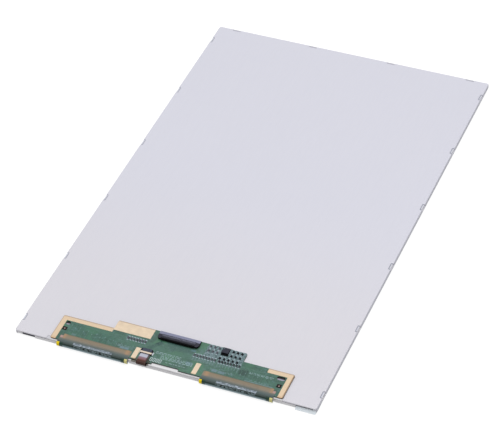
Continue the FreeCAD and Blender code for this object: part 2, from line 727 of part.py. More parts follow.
def flip_lock_connector(prefix, slot, half, depth, corner, roof_depth, contacts, x, mouth, turn):
    """A low flex connector: its mouth at local y = 0, its lock hinged behind the roof, opening upwards."""
    roof_low = CONTACT_TOP + S.connector_slot
    slot_half = slot / 2
    hinge_y = -(roof_depth + S.lock_gap + S.lock_thick / 2)
    hinge_z = CONNECTOR_HEIGHT - S.lock_thick / 2

    housing = new_body(f"{prefix}_connector_housing")
    block = new_sketch(housing, "XY_Plane")
    outline(block, (-half, -depth, corner), (half, -depth, corner), (half, 0), (-half, 0))
    pad(housing, block, CONNECTOR_HEIGHT)
    tunnel = new_sketch(housing, "XZ_Plane")
    rectangle(tunnel, -slot_half, slot_half, S.connector_floor, roof_low)
    pocket(housing, tunnel, depth * 4, symmetric=True)
    well = new_sketch(housing, "XY_Plane", CONNECTOR_HEIGHT)
    rectangle(well, -slot_half, slot_half, -(depth + S.lock_gap), -roof_depth)
    pocket(housing, well, CONNECTOR_HEIGHT - S.connector_floor)
    bearing = new_sketch(housing, "YZ_Plane")
    circle(bearing, hinge_y, hinge_z, S.hinge_radius + S.hinge_play)
    pocket(housing, bearing, slot + (S.hinge_length + S.hinge_play) * 2, symmetric=True)

    lock = new_body(f"{prefix}_connector_lock")
    flap = new_sketch(lock, "YZ_Plane")
    lock_low = CONNECTOR_HEIGHT - S.lock_thick
    nose = hinge_y + S.lock_thick / 2
    tip = -(depth + S.lock_overhang)
    nose_radius = S.lock_thick / 2 * END_ROUNDING
    outline(flap, (tip, lock_low), (nose, lock_low, nose_radius), (nose, CONNECTOR_HEIGHT, nose_radius),
            (tip, CONNECTOR_HEIGHT, S.lock_bevel))
    pad(lock, flap, slot - S.lock_gap * 2, symmetric=True)
    pins = new_sketch(lock, "YZ_Plane")
    circle(pins, hinge_y, hinge_z, S.hinge_radius)
    pad(lock, pins, slot + S.hinge_length * 2, symmetric=True)

    pins_row = new_body(f"{prefix}_connector_contacts")
    first = -S.contact_pitch * (contacts - 1) / 2
    blade = new_sketch(pins_row, "YZ_Plane", first)
    front = -S.contact_setback
    leg = -(depth + S.contact_thick)
    foot = -(depth + S.contact_foot)
    outline(blade, (front, S.connector_floor), (front, CONTACT_TOP), (leg, CONTACT_TOP),
            (leg, S.contact_thick), (foot, S.contact_thick), (foot, 0), (-depth, 0),
            (-depth, S.connector_floor))
    contact = pad(pins_row, blade, S.contact_width, symmetric=True)
    repeat(pins_row, contact, "X_Axis", contacts, S.contact_pitch)

    tabs = new_body(f"{prefix}_connector_tabs")
    fold = new_sketch(tabs, "XZ_Plane", depth / 2)
    for side in (1, -1):
        inner = half * side
        upright = inner + S.tab_thick * side
        outer = inner + TAB_REACH * side
        outline(fold, (inner, 0), (outer, 0), (outer, S.tab_thick), (upright, S.tab_thick),
                (upright, S.tab_height), (inner, S.tab_height))
    pad(tabs, fold, S.tab_length, symmetric=True)

    for body in (housing, lock, pins_row, tabs):
        body.Placement.Rotation = FreeCAD.Rotation(Vector(0, 0, 1), turn)
        on_board(body, x, mouth)


def connectors():
    """The panel connector opens to the far side and the backlight connector to the near side."""
    flip_lock_connector("panel", PANEL_SLOT, PANEL_HALF, S.panel_depth, S.panel_corner, S.panel_roof_depth,
                        S.panel_contacts, -S.panel_shift, RAISED_TOP - S.panel_setback, 0)
    flip_lock_connector("backlight", LIGHT_SLOT, LIGHT_HALF, S.light_depth, S.light_corner,
                        S.light_roof_depth, S.light_contacts, LIGHT_X, S.light_from_edge, 180)


def small_parts():
    """The power chip, the chip parts in a grid round it, and the rows of chip parts below."""
    power_right = RAISED_RIGHT - S.power_chip_end_gap
    power_left = power_right - S.power_chip_width
    power_far = RAISED_TOP - S.power_chip_setback
    keep(box("power_chip", S.board_offset + power_left, S.board_offset + power_right,
             BOARD_NEAR + power_far - S.power_chip_depth, BOARD_NEAR + power_far, BOARD_TOP,
             S.power_chip_height), "power_chip")
    row_pitch = S.chip_width + S.chip_gap
    column_pitch = S.chip_width + S.chip_gap * 2
    line_pitch = S.chip_length + S.chip_gap * 2
    first_line = RAISED_TOP - S.chip_setback - S.chip_length / 2
    side_gap = S.chip_gap * 2 + S.chip_width / 2
    third_line = first_line - line_pitch * 2
    row_y = third_line - S.chip_length - S.chip_row_gap
    second_row = S.right_row_place + row_pitch * RIGHT_ROW_COUNT + S.row_break
    places = [(row_pitch * -i - S.left_row_place, row_y) for i in range(LEFT_ROW_COUNT)]
    places += [(S.right_row_place + row_pitch * i, row_y) for i in range(RIGHT_ROW_COUNT)]
    places += [(second_row + row_pitch * i, row_y) for i in range(RIGHT_ROW_COUNT)]
    for line in range(2):
        y = first_line - line_pitch * line
        for column in range(GRID_COLUMNS):
            places.append((power_left - side_gap - column_pitch * column, y))
            places.append((power_right + side_gap + column_pitch * column, y))
    places += [(power_left + S.chip_width + column_pitch * i, third_line) for i in range(LOWER_ROW_COUNT)]
    bodies = []
    caps = []
    half_width = S.chip_width / 2
    half_length = S.chip_length / 2
    for x, y in places:
        left = S.board_offset + x - half_width
        right = S.board_offset + x + half_width
        near = BOARD_NEAR + y - half_length
        far = BOARD_NEAR + y + half_length
        bodies.append(box("chip_body", left + S.chip_inset, right - S.chip_inset, near + S.chip_cap,
                          far - S.chip_cap, BOARD_TOP, S.chip_height - S.chip_inset))
        caps.append(box("chip_cap", left, right, near, near + S.chip_cap, BOARD_TOP, S.chip_height))
        caps.append(box("chip_cap", left, right, far - S.chip_cap, far, BOARD_TOP, S.chip_height))
    group("chip_part_bodies", bodies)
    group("chip_part_caps", caps)


def check_document():
    faults = [item.Name for item in doc.Objects if "Invalid" in item.State or "Error" in item.State]
    faults += [node.Label for node in nodes if node.Shape.isNull() or not node.Shape.isValid()]
    if faults:
        raise RuntimeError(f"failed objects: {faults}")


def write_parts():
    os.makedirs("parts", exist_ok=True)
    for node in nodes:
        node.Shape.exportStep(f"parts/{node.Label}.step")


front_protective_film()
display_cell()
rim_tape()
light_sheets()
backlight_flex()
backlight_lamps()
mould_frame()
edge_tapes()
back_plate()
board_tape()
driver_board()
ground_fields()
driver_film("left", -1)
driver_film("right", 1)
connectors()
small_parts()
doc.recompute()
check_document()
write_parts()
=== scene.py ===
"""Looks of a bare tablet display module: finishes for every piece, and fine work on its driver board."""

import json
import random
from math import tau

import bmesh
import bpy
from mathutils import Matrix, Vector


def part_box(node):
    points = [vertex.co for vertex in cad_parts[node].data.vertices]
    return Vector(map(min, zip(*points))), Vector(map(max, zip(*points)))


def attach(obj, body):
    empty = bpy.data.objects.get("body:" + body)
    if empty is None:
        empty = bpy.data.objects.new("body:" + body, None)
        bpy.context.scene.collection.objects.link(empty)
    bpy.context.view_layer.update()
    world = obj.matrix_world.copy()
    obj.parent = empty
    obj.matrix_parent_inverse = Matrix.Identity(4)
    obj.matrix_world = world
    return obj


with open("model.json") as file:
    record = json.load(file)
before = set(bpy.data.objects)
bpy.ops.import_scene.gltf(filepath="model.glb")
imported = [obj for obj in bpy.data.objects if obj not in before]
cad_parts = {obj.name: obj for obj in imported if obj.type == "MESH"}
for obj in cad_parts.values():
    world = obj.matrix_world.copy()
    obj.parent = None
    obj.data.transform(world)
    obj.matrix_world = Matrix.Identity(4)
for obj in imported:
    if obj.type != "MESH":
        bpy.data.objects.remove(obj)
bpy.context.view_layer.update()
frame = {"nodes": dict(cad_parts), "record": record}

MM = 0.001
SEED = 7
WHITE = (1.0, 1.0, 1.0, 1.0)

# The colour sockets of a mix node, which also has sockets for numbers and vectors.
MIX_FIRST, MIX_SECOND, MIX_COLOUR = 6, 7, 2

# Camera, in millimetres: where it stands, where it aims, which way is right, how far it sees, and its lens.
CAMERA_PLACE = (341.2, -738.5, 724.7)
CAMERA_AIM = (-0.77, -15.14, 2.21)
CAMERA_RIGHT = (0.9223, 0.3830, -0.0517)
CAMERA_REACH = 20000.0
SENSOR_WIDTH = 36.0
PHOTO_WIDTH = 500.0
FOCAL_PIXELS = 2357.0

# Light: an even sky, and a large soft box above the module, in metres and watts.
SKY_STRENGTH = 0.42
BOX_PLACE = (0.06, 0.12, 1.50)
BOX_SIZE = 1.5
BOX_POWER = 14.9

# Floor, in metres: how much light it gives back to the module, and how it shows in the picture.
FLOOR_SIZE = 8.0
FLOOR_DROP = 0.0002
FLOOR_BOUNCE = 0.65
FLOOR_GLOW = 0.84
FLOOR_SHADING = 0.28

# From here on, places are the part's own, in millimetres.
# The board's two locating holes, and where the far wall's shadow starts in them.
HOLE_SPANS = ((-51.5, -48.9), (48.4, 52.7))
HOLE_LOW_Y, HOLE_SHADE_Y, HOLE_HIGH_Y = -105.2, -103.4, -102.2

# The frame's hooks along a side: the first, their pitch, and the unshaded width of each.
FIRST_HOOK, HOOK_PITCH, HOOK_CLEAR = -106.2, 41.85, 3.1

# Painted warmer light on the plate's coat towards the near end: where it starts, and where it is full.
WARM_LIGHT_FROM, WARM_LIGHT_TO = 15.0, -90.0

# The gold on the board's wings: how far out it starts, and its far edge.
WING_GOLD_FROM, WING_GOLD_FAR_Y = 29.8, -99.95

# Painted shadow lies on the backlight flex's tail to the right of the first; the chip parts are dark to the
# right of the second.
TAIL_SHADOW_FROM, CHIPS_DARK_FROM = -8.55, 20.0

# The far edge of the near row of chip parts.
CHIP_ROW_FAR_Y = -102.9


def srgb(red, green, blue):
    """A screen colour, 0 to 255 a channel, as linear light."""
    shares = [channel / 255.0 for channel in (red, green, blue)]
    return tuple(s / 12.92 if s <= 0.04045 else ((s + 0.055) / 1.055) ** 2.4 for s in shares) + (1.0,)


def shade(colour, factor):
    """The colour made lighter or darker by a factor."""
    return tuple(min(channel * factor, 1.0) for channel in colour[:3]) + (1.0,)


def box_mm(node):
    """A node's lowest and highest corner in millimetres."""
    low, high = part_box(node)
    return low / MM, high / MM


def stops_from(start, *stops):
    """Stops of a ramp, each given as how far it is from a start, and its red, green and blue."""
    return [(start + away, srgb(*colour)) for away, *colour in stops]


BOARD_LOW, BOARD_HIGH = box_mm("driver_board")
BOARD_TOP = BOARD_HIGH.z

# Patches of the board's lacquer: their sides, and their colour. The first two, beside the backlight flex's
# tail, are painted shadow with some stain; the rest are the lacquer's own.
BOARD_STAINS_AND_SHADOWS = (
    (-14.6, -12.6, -114.5, -113.4, srgb(74, 66, 42)),
    (-7.6, -6.5, -114.5, -112.0, srgb(40, 44, 28)),
    (-46.0, -43.9, -110.1, -109.0, srgb(86, 118, 116)),
    (-22.6, -18.4, -110.2, -108.9, srgb(106, 135, 144)),
    (7.5, 9.8, -101.7, -100.6, srgb(84, 120, 126)),
    (8.2, 11.4, -109.9, -107.9, srgb(90, 124, 128)),
    (20.6, 22.8, -109.7, -108.2, srgb(114, 140, 154)),
    (23.4, 26.4, -109.8, -108.5, srgb(104, 130, 142)),
    (32.0, 35.8, -107.6, -103.8, srgb(34, 70, 62)),
    (36.0, 49.0, -110.2, -109.8, srgb(112, 138, 142)),
)

# Places where pads and outlines crowd the board round its chip parts: their sides.
CHIP_FIELDS = (
    (13.5, 31.4, -102.5, -94.9),
    (9.1, 20.0, -106.3, -102.5),
    (20.0, 31.8, -105.2, -102.5),
    (-22.5, -12.7, -104.2, -102.2),
)

# A broad dark line under the lacquer, from the panel connector to the backlight connector.
DARK_LINE = ((-6.0, -100.9), (-10.7, -106.4))
DARK_LINE_WIDTH = 2.0

# A darker wedge of the board below the panel connector: its point, and how steeply its sides rise.
WEDGE_POINT_Y = -105.2
WEDGE_SLOPE = 1.08

# A darker patch of the board below the panel connector's right end: its sides.
DARK_PATCH = (2.5, 9.0, -103.4, -100.8)

# The lacquer on the board's wings: where its shade sets in, where it is full, and the shade.
WINGS_FROM, WINGS_TO = 21.0, 30.0
WINGS_SHADE = (0.72, 0.88, 0.86)

# The board's cut edge turns brown at its two ends: where that sets in, and where it is full.
BROWN_EDGE_FROM, BROWN_EDGE_TO = 50.5, 51.5


class Finish:
    """A node material that works in the part's own millimetres, with short ways to feed its shader."""

    def __init__(self, name, roughness=0.5, metallic=0.0, specular=0.5):
        self.name = name
        self.material = bpy.data.materials.new(name)
        self.material.use_nodes = True
        self.nodes = self.material.node_tree.nodes
        self.links = self.material.node_tree.links
        self.shader = self.nodes["Principled BSDF"]
        self.paint(WHITE)
        self.set("Roughness", roughness)
        self.set("Metallic", metallic)
        self.set("Specular IOR Level", specular)
        coordinates = self.nodes.new("ShaderNodeTexCoord").outputs
        self.place = self.vector("MULTIPLY", coordinates["Object"], (1 / MM, 1 / MM, 1 / MM))
        self.x, self.y, self.z = self.split(self.place)
        self.facing = coordinates["Normal"]

    def split(self, value):
        node = self.nodes.new("ShaderNodeSeparateXYZ")
        self.links.new(value, node.inputs[0])
        return node.outputs

    def feed(self, socket, value):
        """Gives a socket a constant or another node's output."""
        if isinstance(value, bpy.types.NodeSocket):
            self.links.new(value, socket)
        else:
            socket.default_value = value

    def set(self, socket, value):
        """Gives one of the shader's own sockets its value."""
        self.feed(self.shader.inputs[socket], value)

    def operate(self, kind, operation, first, second):
        node = self.nodes.new(kind)
        node.operation = operation
        self.feed(node.inputs[0], first)
        self.feed(node.inputs[1], second)
        return node.outputs[0]

    def vector(self, operation, first, second):
        return self.operate("ShaderNodeVectorMath", operation, first, second)

    def math(self, operation, first, second=0.0):
        return self.operate("ShaderNodeMath", operation, first, second)

    def times(self, first, *others):
        """The product of two or more numbers."""
        for other in others:
            first = self.math("MULTIPLY", first, other)
        return first

    def step(self, value, low, high, to_low=0.0, to_high=1.0, shape="SMOOTHSTEP"):
        """A rise from to_low to to_high as the value goes from low to high."""
        node = self.nodes.new("ShaderNodeMapRange")
        node.interpolation_type = shape
        for socket, number in zip(node.inputs[1:5], (low, high, to_low, to_high)):
            socket.default_value = number
        self.feed(node.inputs[0], value)
        return node.outputs[0]

    def band(self, value, low, high, soft):
        """1 between low and high, fading to 0 over a soft width at each end."""
        rise = self.step(value, low - soft, low + soft)
        fall = self.step(value, high - soft, high + soft, 1.0, 0.0)
        return self.times(rise, fall)

    def patch(self, low_x, high_x, low_y, high_y, soft):
        """1 on a rectangle of the top view, with soft sides."""
        across = self.band(self.x, low_x, high_x, soft)
        along = self.band(self.y, low_y, high_y, soft)
        return self.times(across, along)

    def slanted(self, start, end, width, soft):
        """1 on a straight stroke of the top view, with soft sides."""
        stroke = Vector(end) - Vector(start)
        way = stroke.normalized()
        from_x = self.math("SUBTRACT", self.x, start[0])
        from_y = self.math("SUBTRACT", self.y, start[1])
        along = self.math("ADD", self.times(from_x, way.x), self.times(from_y, way.y))
        across = self.math("SUBTRACT", self.times(from_x, way.y), self.times(from_y, way.x))
        on_width = self.band(across, -width / 2, width / 2, soft)
        return self.times(on_width, self.band(along, 0.0, stroke.length, soft))

    def texture(self, kind, size, stretch):
        """A texture of a size in millimetres, longer along some axes."""
        node = self.nodes.new(kind)
        node.inputs["Scale"].default_value = 1.0
        scale = tuple(1 / (size * share) for share in stretch)
        self.links.new(self.vector("MULTIPLY", self.place, scale), node.inputs["Vector"])
        return node

    def noise(self, size, detail=2.0, stretch=(1, 1, 1), contrast=0.0):
        """Cloudy noise of a given grain in millimetres; contrast narrows it about its middle."""
        texture = self.texture("ShaderNodeTexNoise", size, stretch)
        texture.inputs["Detail"].default_value = detail
        value = texture.outputs["Fac"]
        return self.step(value, 0.5 - contrast, 0.5 + contrast) if contrast else value

    def cells(self, size, stretch=(1, 1, 1), feature="F1"):
        """Cells of a size in millimetres: the distance to a cell's middle, or to its edge."""
        texture = self.texture("ShaderNodeTexVoronoi", size, stretch)
        texture.feature = feature
        return texture.outputs["Distance"]

    def stripes(self, axis, pitch, share=0.5, soft=0.15):
        """1 on lines of a given pitch across an axis value, 0 between them."""
        phase = self.math("FRACT", self.math("DIVIDE", axis, pitch))
        away = self.math("ABSOLUTE", self.math("SUBTRACT", phase, 0.5))
        return self.step(away, share / 2 - soft / 2, share / 2 + soft / 2, 1.0, 0.0)

    def mix(self, factor, first, second):
        """The first colour where the factor is 0, the second where it is 1."""
        node = self.nodes.new("ShaderNodeMix")
        node.data_type = "RGBA"
        self.feed(node.inputs[0], factor)
        self.feed(node.inputs[MIX_FIRST], first)
        self.feed(node.inputs[MIX_SECOND], second)
        return node.outputs[MIX_COLOUR]

    def ramp(self, value, stops):
        """Colours along a value: stops are rising (value, colour) pairs."""
        low, high = stops[0][0], stops[-1][0]
        node = self.nodes.new("ShaderNodeValToRGB")
        elements = node.color_ramp.elements
        while len(elements) < len(stops):
            elements.new(0.5)
        for element, (place, colour) in zip(elements, stops):
            element.position = (place - low) / (high - low)
            element.color = colour
        self.links.new(self.step(value, low, high, shape="LINEAR"), node.inputs["Fac"])
        return node.outputs["Color"]

    def upward(self):
        """1 on faces that look straight up or down, 0 on upright ones."""
        return self.step(self.math("ABSOLUTE", self.split(self.facing)["Z"]), 0.4, 0.8)

    def paint(self, colour):
        """Makes a colour the finish's own, in place of what it had."""
        self.colour = colour
        self.set("Base Color", colour)

    def tint(self, factor, colour):
        """Lays a colour over what the finish has, by a factor."""
        self.paint(self.mix(factor, self.colour, colour))

    def on_sides(self, colour):
        """Gives upright faces a colour of their own."""
        self.paint(self.mix(self.upward(), colour, self.colour))

    def bump(self, height, depth):
        """Raises the surface by a depth in millimetres where the height is 1."""
        node = self.nodes.new("ShaderNodeBump")
        node.inputs["Strength"].default_value = 1.0
        node.inputs["Distance"].default_value = depth * MM
        self.links.new(height, node.inputs["Height"])
        self.links.new(node.outputs["Normal"], self.shader.inputs["Normal"])


def cloudy(name, colour, spread, size, roughness, grain=0.3, depth=0.004, **shader):
    """A finish whose colour drifts a little over clouds of a size, with a fine grain."""
    finish = Finish(name, roughness, **shader)
    drift = finish.noise(size, detail=3.0, contrast=0.3)
    finish.paint(finish.mix(drift, shade(colour, 1 - spread), shade(colour, 1 + spread)))
    fine = finish.noise(grain, detail=4.0)
    finish.set("Roughness", finish.step(fine, 0.2, 0.8, roughness - 0.06, roughness + 0.06))
    finish.bump(fine, depth)
    return finish


# Finishes, each after the functions for its own parts.


def plate_metal():
    """Rolled sheet with a matte lilac grey coat and a faint grain, painted warmer light towards the near
    end, painted shade on its folded sides, and painted shadow under the board's holes.
    """
    finish = Finish("plate_metal", roughness=0.55, metallic=0.1)
    coat, warmer_light = srgb(218, 218, 229), srgb(220, 218, 225)
    drift = finish.noise(60.0, detail=2.0, contrast=0.35)
    rolled = finish.noise(0.6, detail=3.0, stretch=(1, 14, 1))
    # Painted warmer light towards the near end.
    tone = finish.mix(finish.step(finish.y, WARM_LIGHT_TO, WARM_LIGHT_FROM), warmer_light, coat)
    finish.paint(finish.mix(drift, finish.vector("MULTIPLY", tone, (0.99, 0.99, 0.99)), tone))
    finish.tint(finish.step(rolled, 0.3, 0.7, 0.0, 0.12), shade(coat, 0.93))
    # Painted shade on the plate's folded sides.
    folded_side_shade = finish.step(finish.math("ABSOLUTE", finish.split(finish.facing)["X"]), 0.3, 0.7)
    finish.tint(folded_side_shade, shade(coat, 0.8))
    # Painted shadow on the plate under the board's locating holes: dark grey, and black past the line of
    # the far wall's shadow.
    shaded = finish.step(finish.y, HOLE_SHADE_Y - 0.2, HOLE_SHADE_Y + 0.1)
    hole_shadow = finish.mix(shaded, srgb(160, 156, 174), srgb(24, 22, 26))
    for low_x, high_x in HOLE_SPANS:
        finish.tint(finish.patch(low_x, high_x, HOLE_LOW_Y, HOLE_HIGH_Y, 0.1), hole_shadow)
    finish.set("Roughness", finish.step(rolled, 0.2, 0.8, 0.5, 0.62))
    finish.bump(rolled, 0.002)
    return finish


def shade_hooks(finish, high):
    """Paints shade on the frame's hooks in the plate's windows, darker on the right than the left, but for
    the middle of each one's outer lip; also greys the top along the far side.
    """
    out = finish.math("ABSOLUTE", finish.x)
    from_start = finish.math("SUBTRACT", finish.y, FIRST_HOOK - HOOK_PITCH / 2)
    middle = finish.stripes(from_start, HOOK_PITCH, HOOK_CLEAR / HOOK_PITCH, 0.006)
    lip = finish.times(middle, finish.step(out, high.x - 0.6, high.x - 0.45))
    # Painted shade in the plate's windows: lighter on the left hooks, darker on the right ones.
    shaded = finish.mix(finish.step(finish.x, -1.0, 1.0), srgb(184, 187, 199), srgb(154, 158, 172))
    hook_shade = finish.mix(lip, shaded, srgb(214, 215, 226))
    on_top = finish.step(finish.z, high.z - 0.1, high.z - 0.05)
    at_side = finish.step(out, high.x - 1.3, high.x - 1.2)
    at_far = finish.step(finish.y, high.y - 1.2, high.y - 1.1)
    finish.tint(finish.times(at_side, on_top), hook_shade)
    finish.tint(finish.times(at_far, on_top), srgb(192, 192, 203))


def paint_rail_shadow_and_stain(finish, high):
    """Paints the frame's near rail brown at both sides of the backlight flex's tail: painted shadow of the
    flex, with some stain.
    """
    tail_low, tail_high = box_mm("backlight_connector_housing")
    on_rail = finish.step(finish.z, high.z - 0.7, high.z - 0.6)
    left_shadow_and_stain = finish.band(finish.x, tail_low.x - 2.3, tail_low.x + 0.2, 0.2)
    right_shadow_and_stain = finish.band(finish.x, tail_high.x - 0.5, tail_high.x + 0.6, 0.2)
    rail_shadow_and_stain = finish.math("MAXIMUM", left_shadow_and_stain, right_shadow_and_stain)
    finish.tint(finish.times(rail_shadow_and_stain, on_rail, 0.85), srgb(80, 72, 48))


def frame_plastic():
    """White moulding, greyer past the board's ends, with painted shade on its hooks, and painted shadow and
    stain on its rail.
    """
    finish = cloudy("frame_plastic", srgb(240, 239, 242), 0.02, 9.0, 0.42, grain=0.25)
    high = box_mm("mould_frame")[1]
    along_board = finish.band(finish.x, BOARD_LOW.x - 0.1, BOARD_HIGH.x + 0.1, 0.1)
    past_ends = finish.math("SUBTRACT", 1.0, along_board)
    finish.tint(finish.times(past_ends, finish.upward()), srgb(210, 209, 217))
    shade_hooks(finish, high)
    paint_rail_shadow_and_stain(finish, high)
    return finish


def clear_film(name, tint, opacity, roughness):
    """A thin clear film with a faint tint and soft waves from handling."""
    finish = cloudy(name, tint, 0.04, 12.0, roughness, grain=3.0, depth=0.01)
    finish.set("Alpha", opacity)
    return finish


def lay_lacquer(finish, gap, mottle):
    """The board's green: darker over gaps and where copper is thin, with bluish and livelier clouds."""
    green = srgb(62, 102, 88)
    pour = finish.step(finish.noise(4.5, detail=1.0, stretch=(1.6, 1, 1)), 0.42, 0.58)
    over_gap = finish.mix(gap, shade(green, 0.72), green)
    finish.paint(finish.mix(pour, shade(green, 0.70), over_gap))
    finish.tint(finish.times(mottle, 0.4), srgb(90, 132, 116))
    bluish = finish.noise(1.7, detail=2.0, stretch=(1.3, 0.8, 1))
    finish.tint(finish.step(bluish, 0.54, 0.68, 0.0, 0.55), srgb(96, 128, 128))
    lively = finish.noise(7.0, detail=1.0)
    finish.tint(finish.step(lively, 0.52, 0.66, 0.0, 0.5), srgb(76, 128, 96))


def shade_lacquer(finish):
    """Darkens the board's wings, and places near the panel connector."""
    out = finish.math("ABSOLUTE", finish.x)
    on_wings = finish.step(out, WINGS_FROM, WINGS_TO)
    finish.tint(on_wings, finish.vector("MULTIPLY", finish.colour, WINGS_SHADE))
    finish.tint(finish.times(finish.patch(*DARK_PATCH, 0.5), 0.6), srgb(48, 80, 84))
    above_point = finish.math("SUBTRACT", finish.y, WEDGE_POINT_Y)
    above_sides = finish.math("SUBTRACT", above_point, finish.times(out, WEDGE_SLOPE))
    finish.tint(finish.step(above_sides, -0.2, 0.3, 0.0, 0.6), srgb(56, 88, 86))
    finish.tint(finish.slanted(*DARK_LINE, DARK_LINE_WIDTH, 0.3), srgb(30, 68, 66))


def mark_lacquer(finish):
    """Speckles the board where pads and outlines crowd it, and lays its stains and painted shadows."""
    speckle = finish.noise(0.8, detail=2.0, stretch=(0.8, 1.1, 1), contrast=0.13)
    crowded = finish.mix(speckle, srgb(68, 94, 97), srgb(128, 149, 158))
    for sides in CHIP_FIELDS:
        finish.tint(finish.times(finish.patch(*sides, 0.5), 0.85), crowded)
    for *sides, colour in BOARD_STAINS_AND_SHADOWS:
        finish.tint(finish.patch(*sides, 0.25), colour)


def board_edge(finish):
    """The board's cut edge: layers of dark glass weave, near black with the shadow under the board's edge
    painted in, and brown at the board's two ends.
    """
    weave = finish.stripes(finish.z, 0.11, 0.6, 0.3)
    at_ends = finish.step(finish.math("ABSOLUTE", finish.x), BROWN_EDGE_FROM, BROWN_EDGE_TO)
    shaded_core = finish.mix(at_ends, srgb(24, 30, 25), srgb(74, 54, 34))
    return finish.mix(finish.times(weave, 0.3), shaded_core, srgb(64, 58, 44))


def solder_mask():
    """Green lacquer, lighter over copper and darker between, with cut edges darkened by painted shadow."""
    finish = Finish("solder_mask", roughness=0.34, specular=0.45)
    gap = finish.step(finish.cells(3.4, stretch=(1.5, 1, 1), feature="DISTANCE_TO_EDGE"), 0.02, 0.07)
    mottle = finish.noise(0.9, detail=4.0, contrast=0.35)
    lay_lacquer(finish, gap, mottle)
    shade_lacquer(finish)
    mark_lacquer(finish)
    finish.on_sides(board_edge(finish))
    finish.set("Roughness", finish.step(mottle, 0.0, 1.0, 0.30, 0.42))
    finish.bump(finish.math("ADD", gap, finish.times(mottle, 0.3)), 0.012)
    return finish


def gold_plating():
    """Thin gold over copper: pale peach with small pits and drifts, browner near ends and rims, and darker
    along the right rim with painted shade from the board's edge.
    """
    finish = Finish("gold_plating", roughness=0.42, metallic=0.2)
    low, high = box_mm("ground_fields")
    gold = srgb(229, 208, 181)
    drift = finish.noise(2.2, detail=4.0, contrast=0.3)
    pits = finish.step(finish.cells(0.55), 0.06, 0.14)
    smooth = finish.mix(drift, shade(gold, 0.91), shade(gold, 1.04))
    finish.paint(finish.mix(pits, srgb(218, 188, 152), smooth))
    out = finish.math("ABSOLUTE", finish.x)
    on_wings = finish.step(out, WING_GOLD_FROM - 0.2, WING_GOLD_FROM + 0.2)
    finish.tint(finish.times(on_wings, 0.75), srgb(220, 194, 162))
    finish.tint(finish.step(finish.y, low.y, low.y + 1.4, 0.6, 0.0), srgb(196, 152, 104))
    left_rim = finish.step(finish.x, low.x + 0.25, low.x + 0.5, 0.8, 0.0)
    right_rim_shade = finish.step(finish.x, high.x - 0.6, high.x - 0.35)
    far_rim = finish.step(finish.y, high.y - 0.6, high.y - 0.3)
    wing_rim = finish.step(finish.y, WING_GOLD_FAR_Y - 0.6, WING_GOLD_FAR_Y - 0.3)
    for rim in (left_rim, finish.times(wing_rim, on_wings), far_rim):
        finish.tint(rim, srgb(186, 164, 143))
    # Painted shade from the board's edge along the right rim.
    finish.tint(right_rim_shade, srgb(148, 122, 96))
    finish.on_sides(srgb(92, 66, 40))
    finish.set("Roughness", finish.step(drift, 0.0, 1.0, 0.36, 0.5))
    finish.bump(finish.math("ADD", drift, pits), 0.006)
    return finish


def film_ground(finish, low, high, chip_low):
    """A driver film's ground: grey to tan along its top, and down its bend a painted reflection, dark near
    the top and bluish white lower down.
    """
    top = stops_from(
        chip_low.y, (0.0, 60, 72, 70), (0.55, 80, 92, 90), (1.1, 86, 100, 100), (1.65, 98, 108, 107),
        (2.2, 112, 117, 111), (2.75, 128, 124, 114), (3.35, 143, 132, 116))
    top += stops_from(high.y, (-0.6, 143, 128, 106), (0.0, 98, 104, 94))
    # Painted reflection down the bend: dark near the top, bluish white where the floor is reflected lower
    # down.
    bend = stops_from(
        low.z, (0.0, 226, 240, 248), (0.5, 206, 222, 230), (1.05, 154, 174, 180), (1.65, 84, 106, 106),
        (1.95, 34, 50, 46))
    bend += stops_from(high.z, (-0.2, 38, 54, 50), (0.0, 60, 72, 70))
    on_top = finish.step(finish.z, high.z - 0.12, high.z - 0.02)
    finish.paint(finish.mix(on_top, finish.ramp(finish.z, bend), finish.ramp(finish.y, top)))


def film_below_chip(finish, high, chip_low, chip_high):
    """A painted reflection on a driver film's bend below its chip: broken, near black and blue-grey."""
    over_chip = finish.band(finish.x, chip_low.x, chip_high.x, 0.4)
    on_bend = finish.band(finish.z, high.z - 0.7, high.z - 0.05, 0.08)
    broken_reflection = finish.step(finish.noise(1.1, detail=3.0, stretch=(1, 0.6, 0.6)), 0.48, 0.57)
    painted_reflection = finish.mix(broken_reflection, srgb(104, 120, 124), srgb(6, 11, 10))
    finish.tint(finish.times(over_chip, on_bend), painted_reflection)


def film_ends(finish, from_left, from_right, chip_low, on_strip):
    """A driver film's ends: green shoulders, yellow bare film on the bend, a rosier bonded strip."""
    side = finish.math("MINIMUM", from_left, from_right)
    on_shoulder = finish.step(finish.y, chip_low.y, chip_low.y + 0.4, 1.0, 0.0)
    finish.tint(finish.times(finish.step(side, 2.6, 3.2, 0.8, 0.0), on_shoulder), srgb(32, 62, 50))
    at_right = finish.step(from_right, 1.0, 3.0, 1.0, 0.0)
    yellow = finish.mix(at_right, srgb(252, 222, 26), srgb(232, 224, 150))
    on_bend = finish.step(finish.y, chip_low.y - 0.05, chip_low.y + 0.15, 1.0, 0.0)
    finish.tint(finish.times(finish.step(side, 1.2, 1.4, 1.0, 0.0), on_bend), yellow)
    finish.tint(finish.times(finish.band(side, 0.9, 2.6, 0.8), on_strip, 0.6), srgb(186, 148, 114))


def film_outer_end(finish, high, from_outer, on_strip):
    """The end of a film's bonded strip at the board's end: clear of copper, but for a square mark."""
    clear_end = finish.step(from_outer, 1.1, 1.5, 1.0, 0.0)
    finish.tint(finish.times(clear_end, on_strip), srgb(84, 108, 96))
    across_mark = finish.band(from_outer, 0.0, 1.3, 0.1)
    along_mark = finish.band(finish.y, high.y - 2.6, high.y - 1.2, 0.15)
    finish.tint(finish.times(across_mark, along_mark), srgb(184, 152, 146))


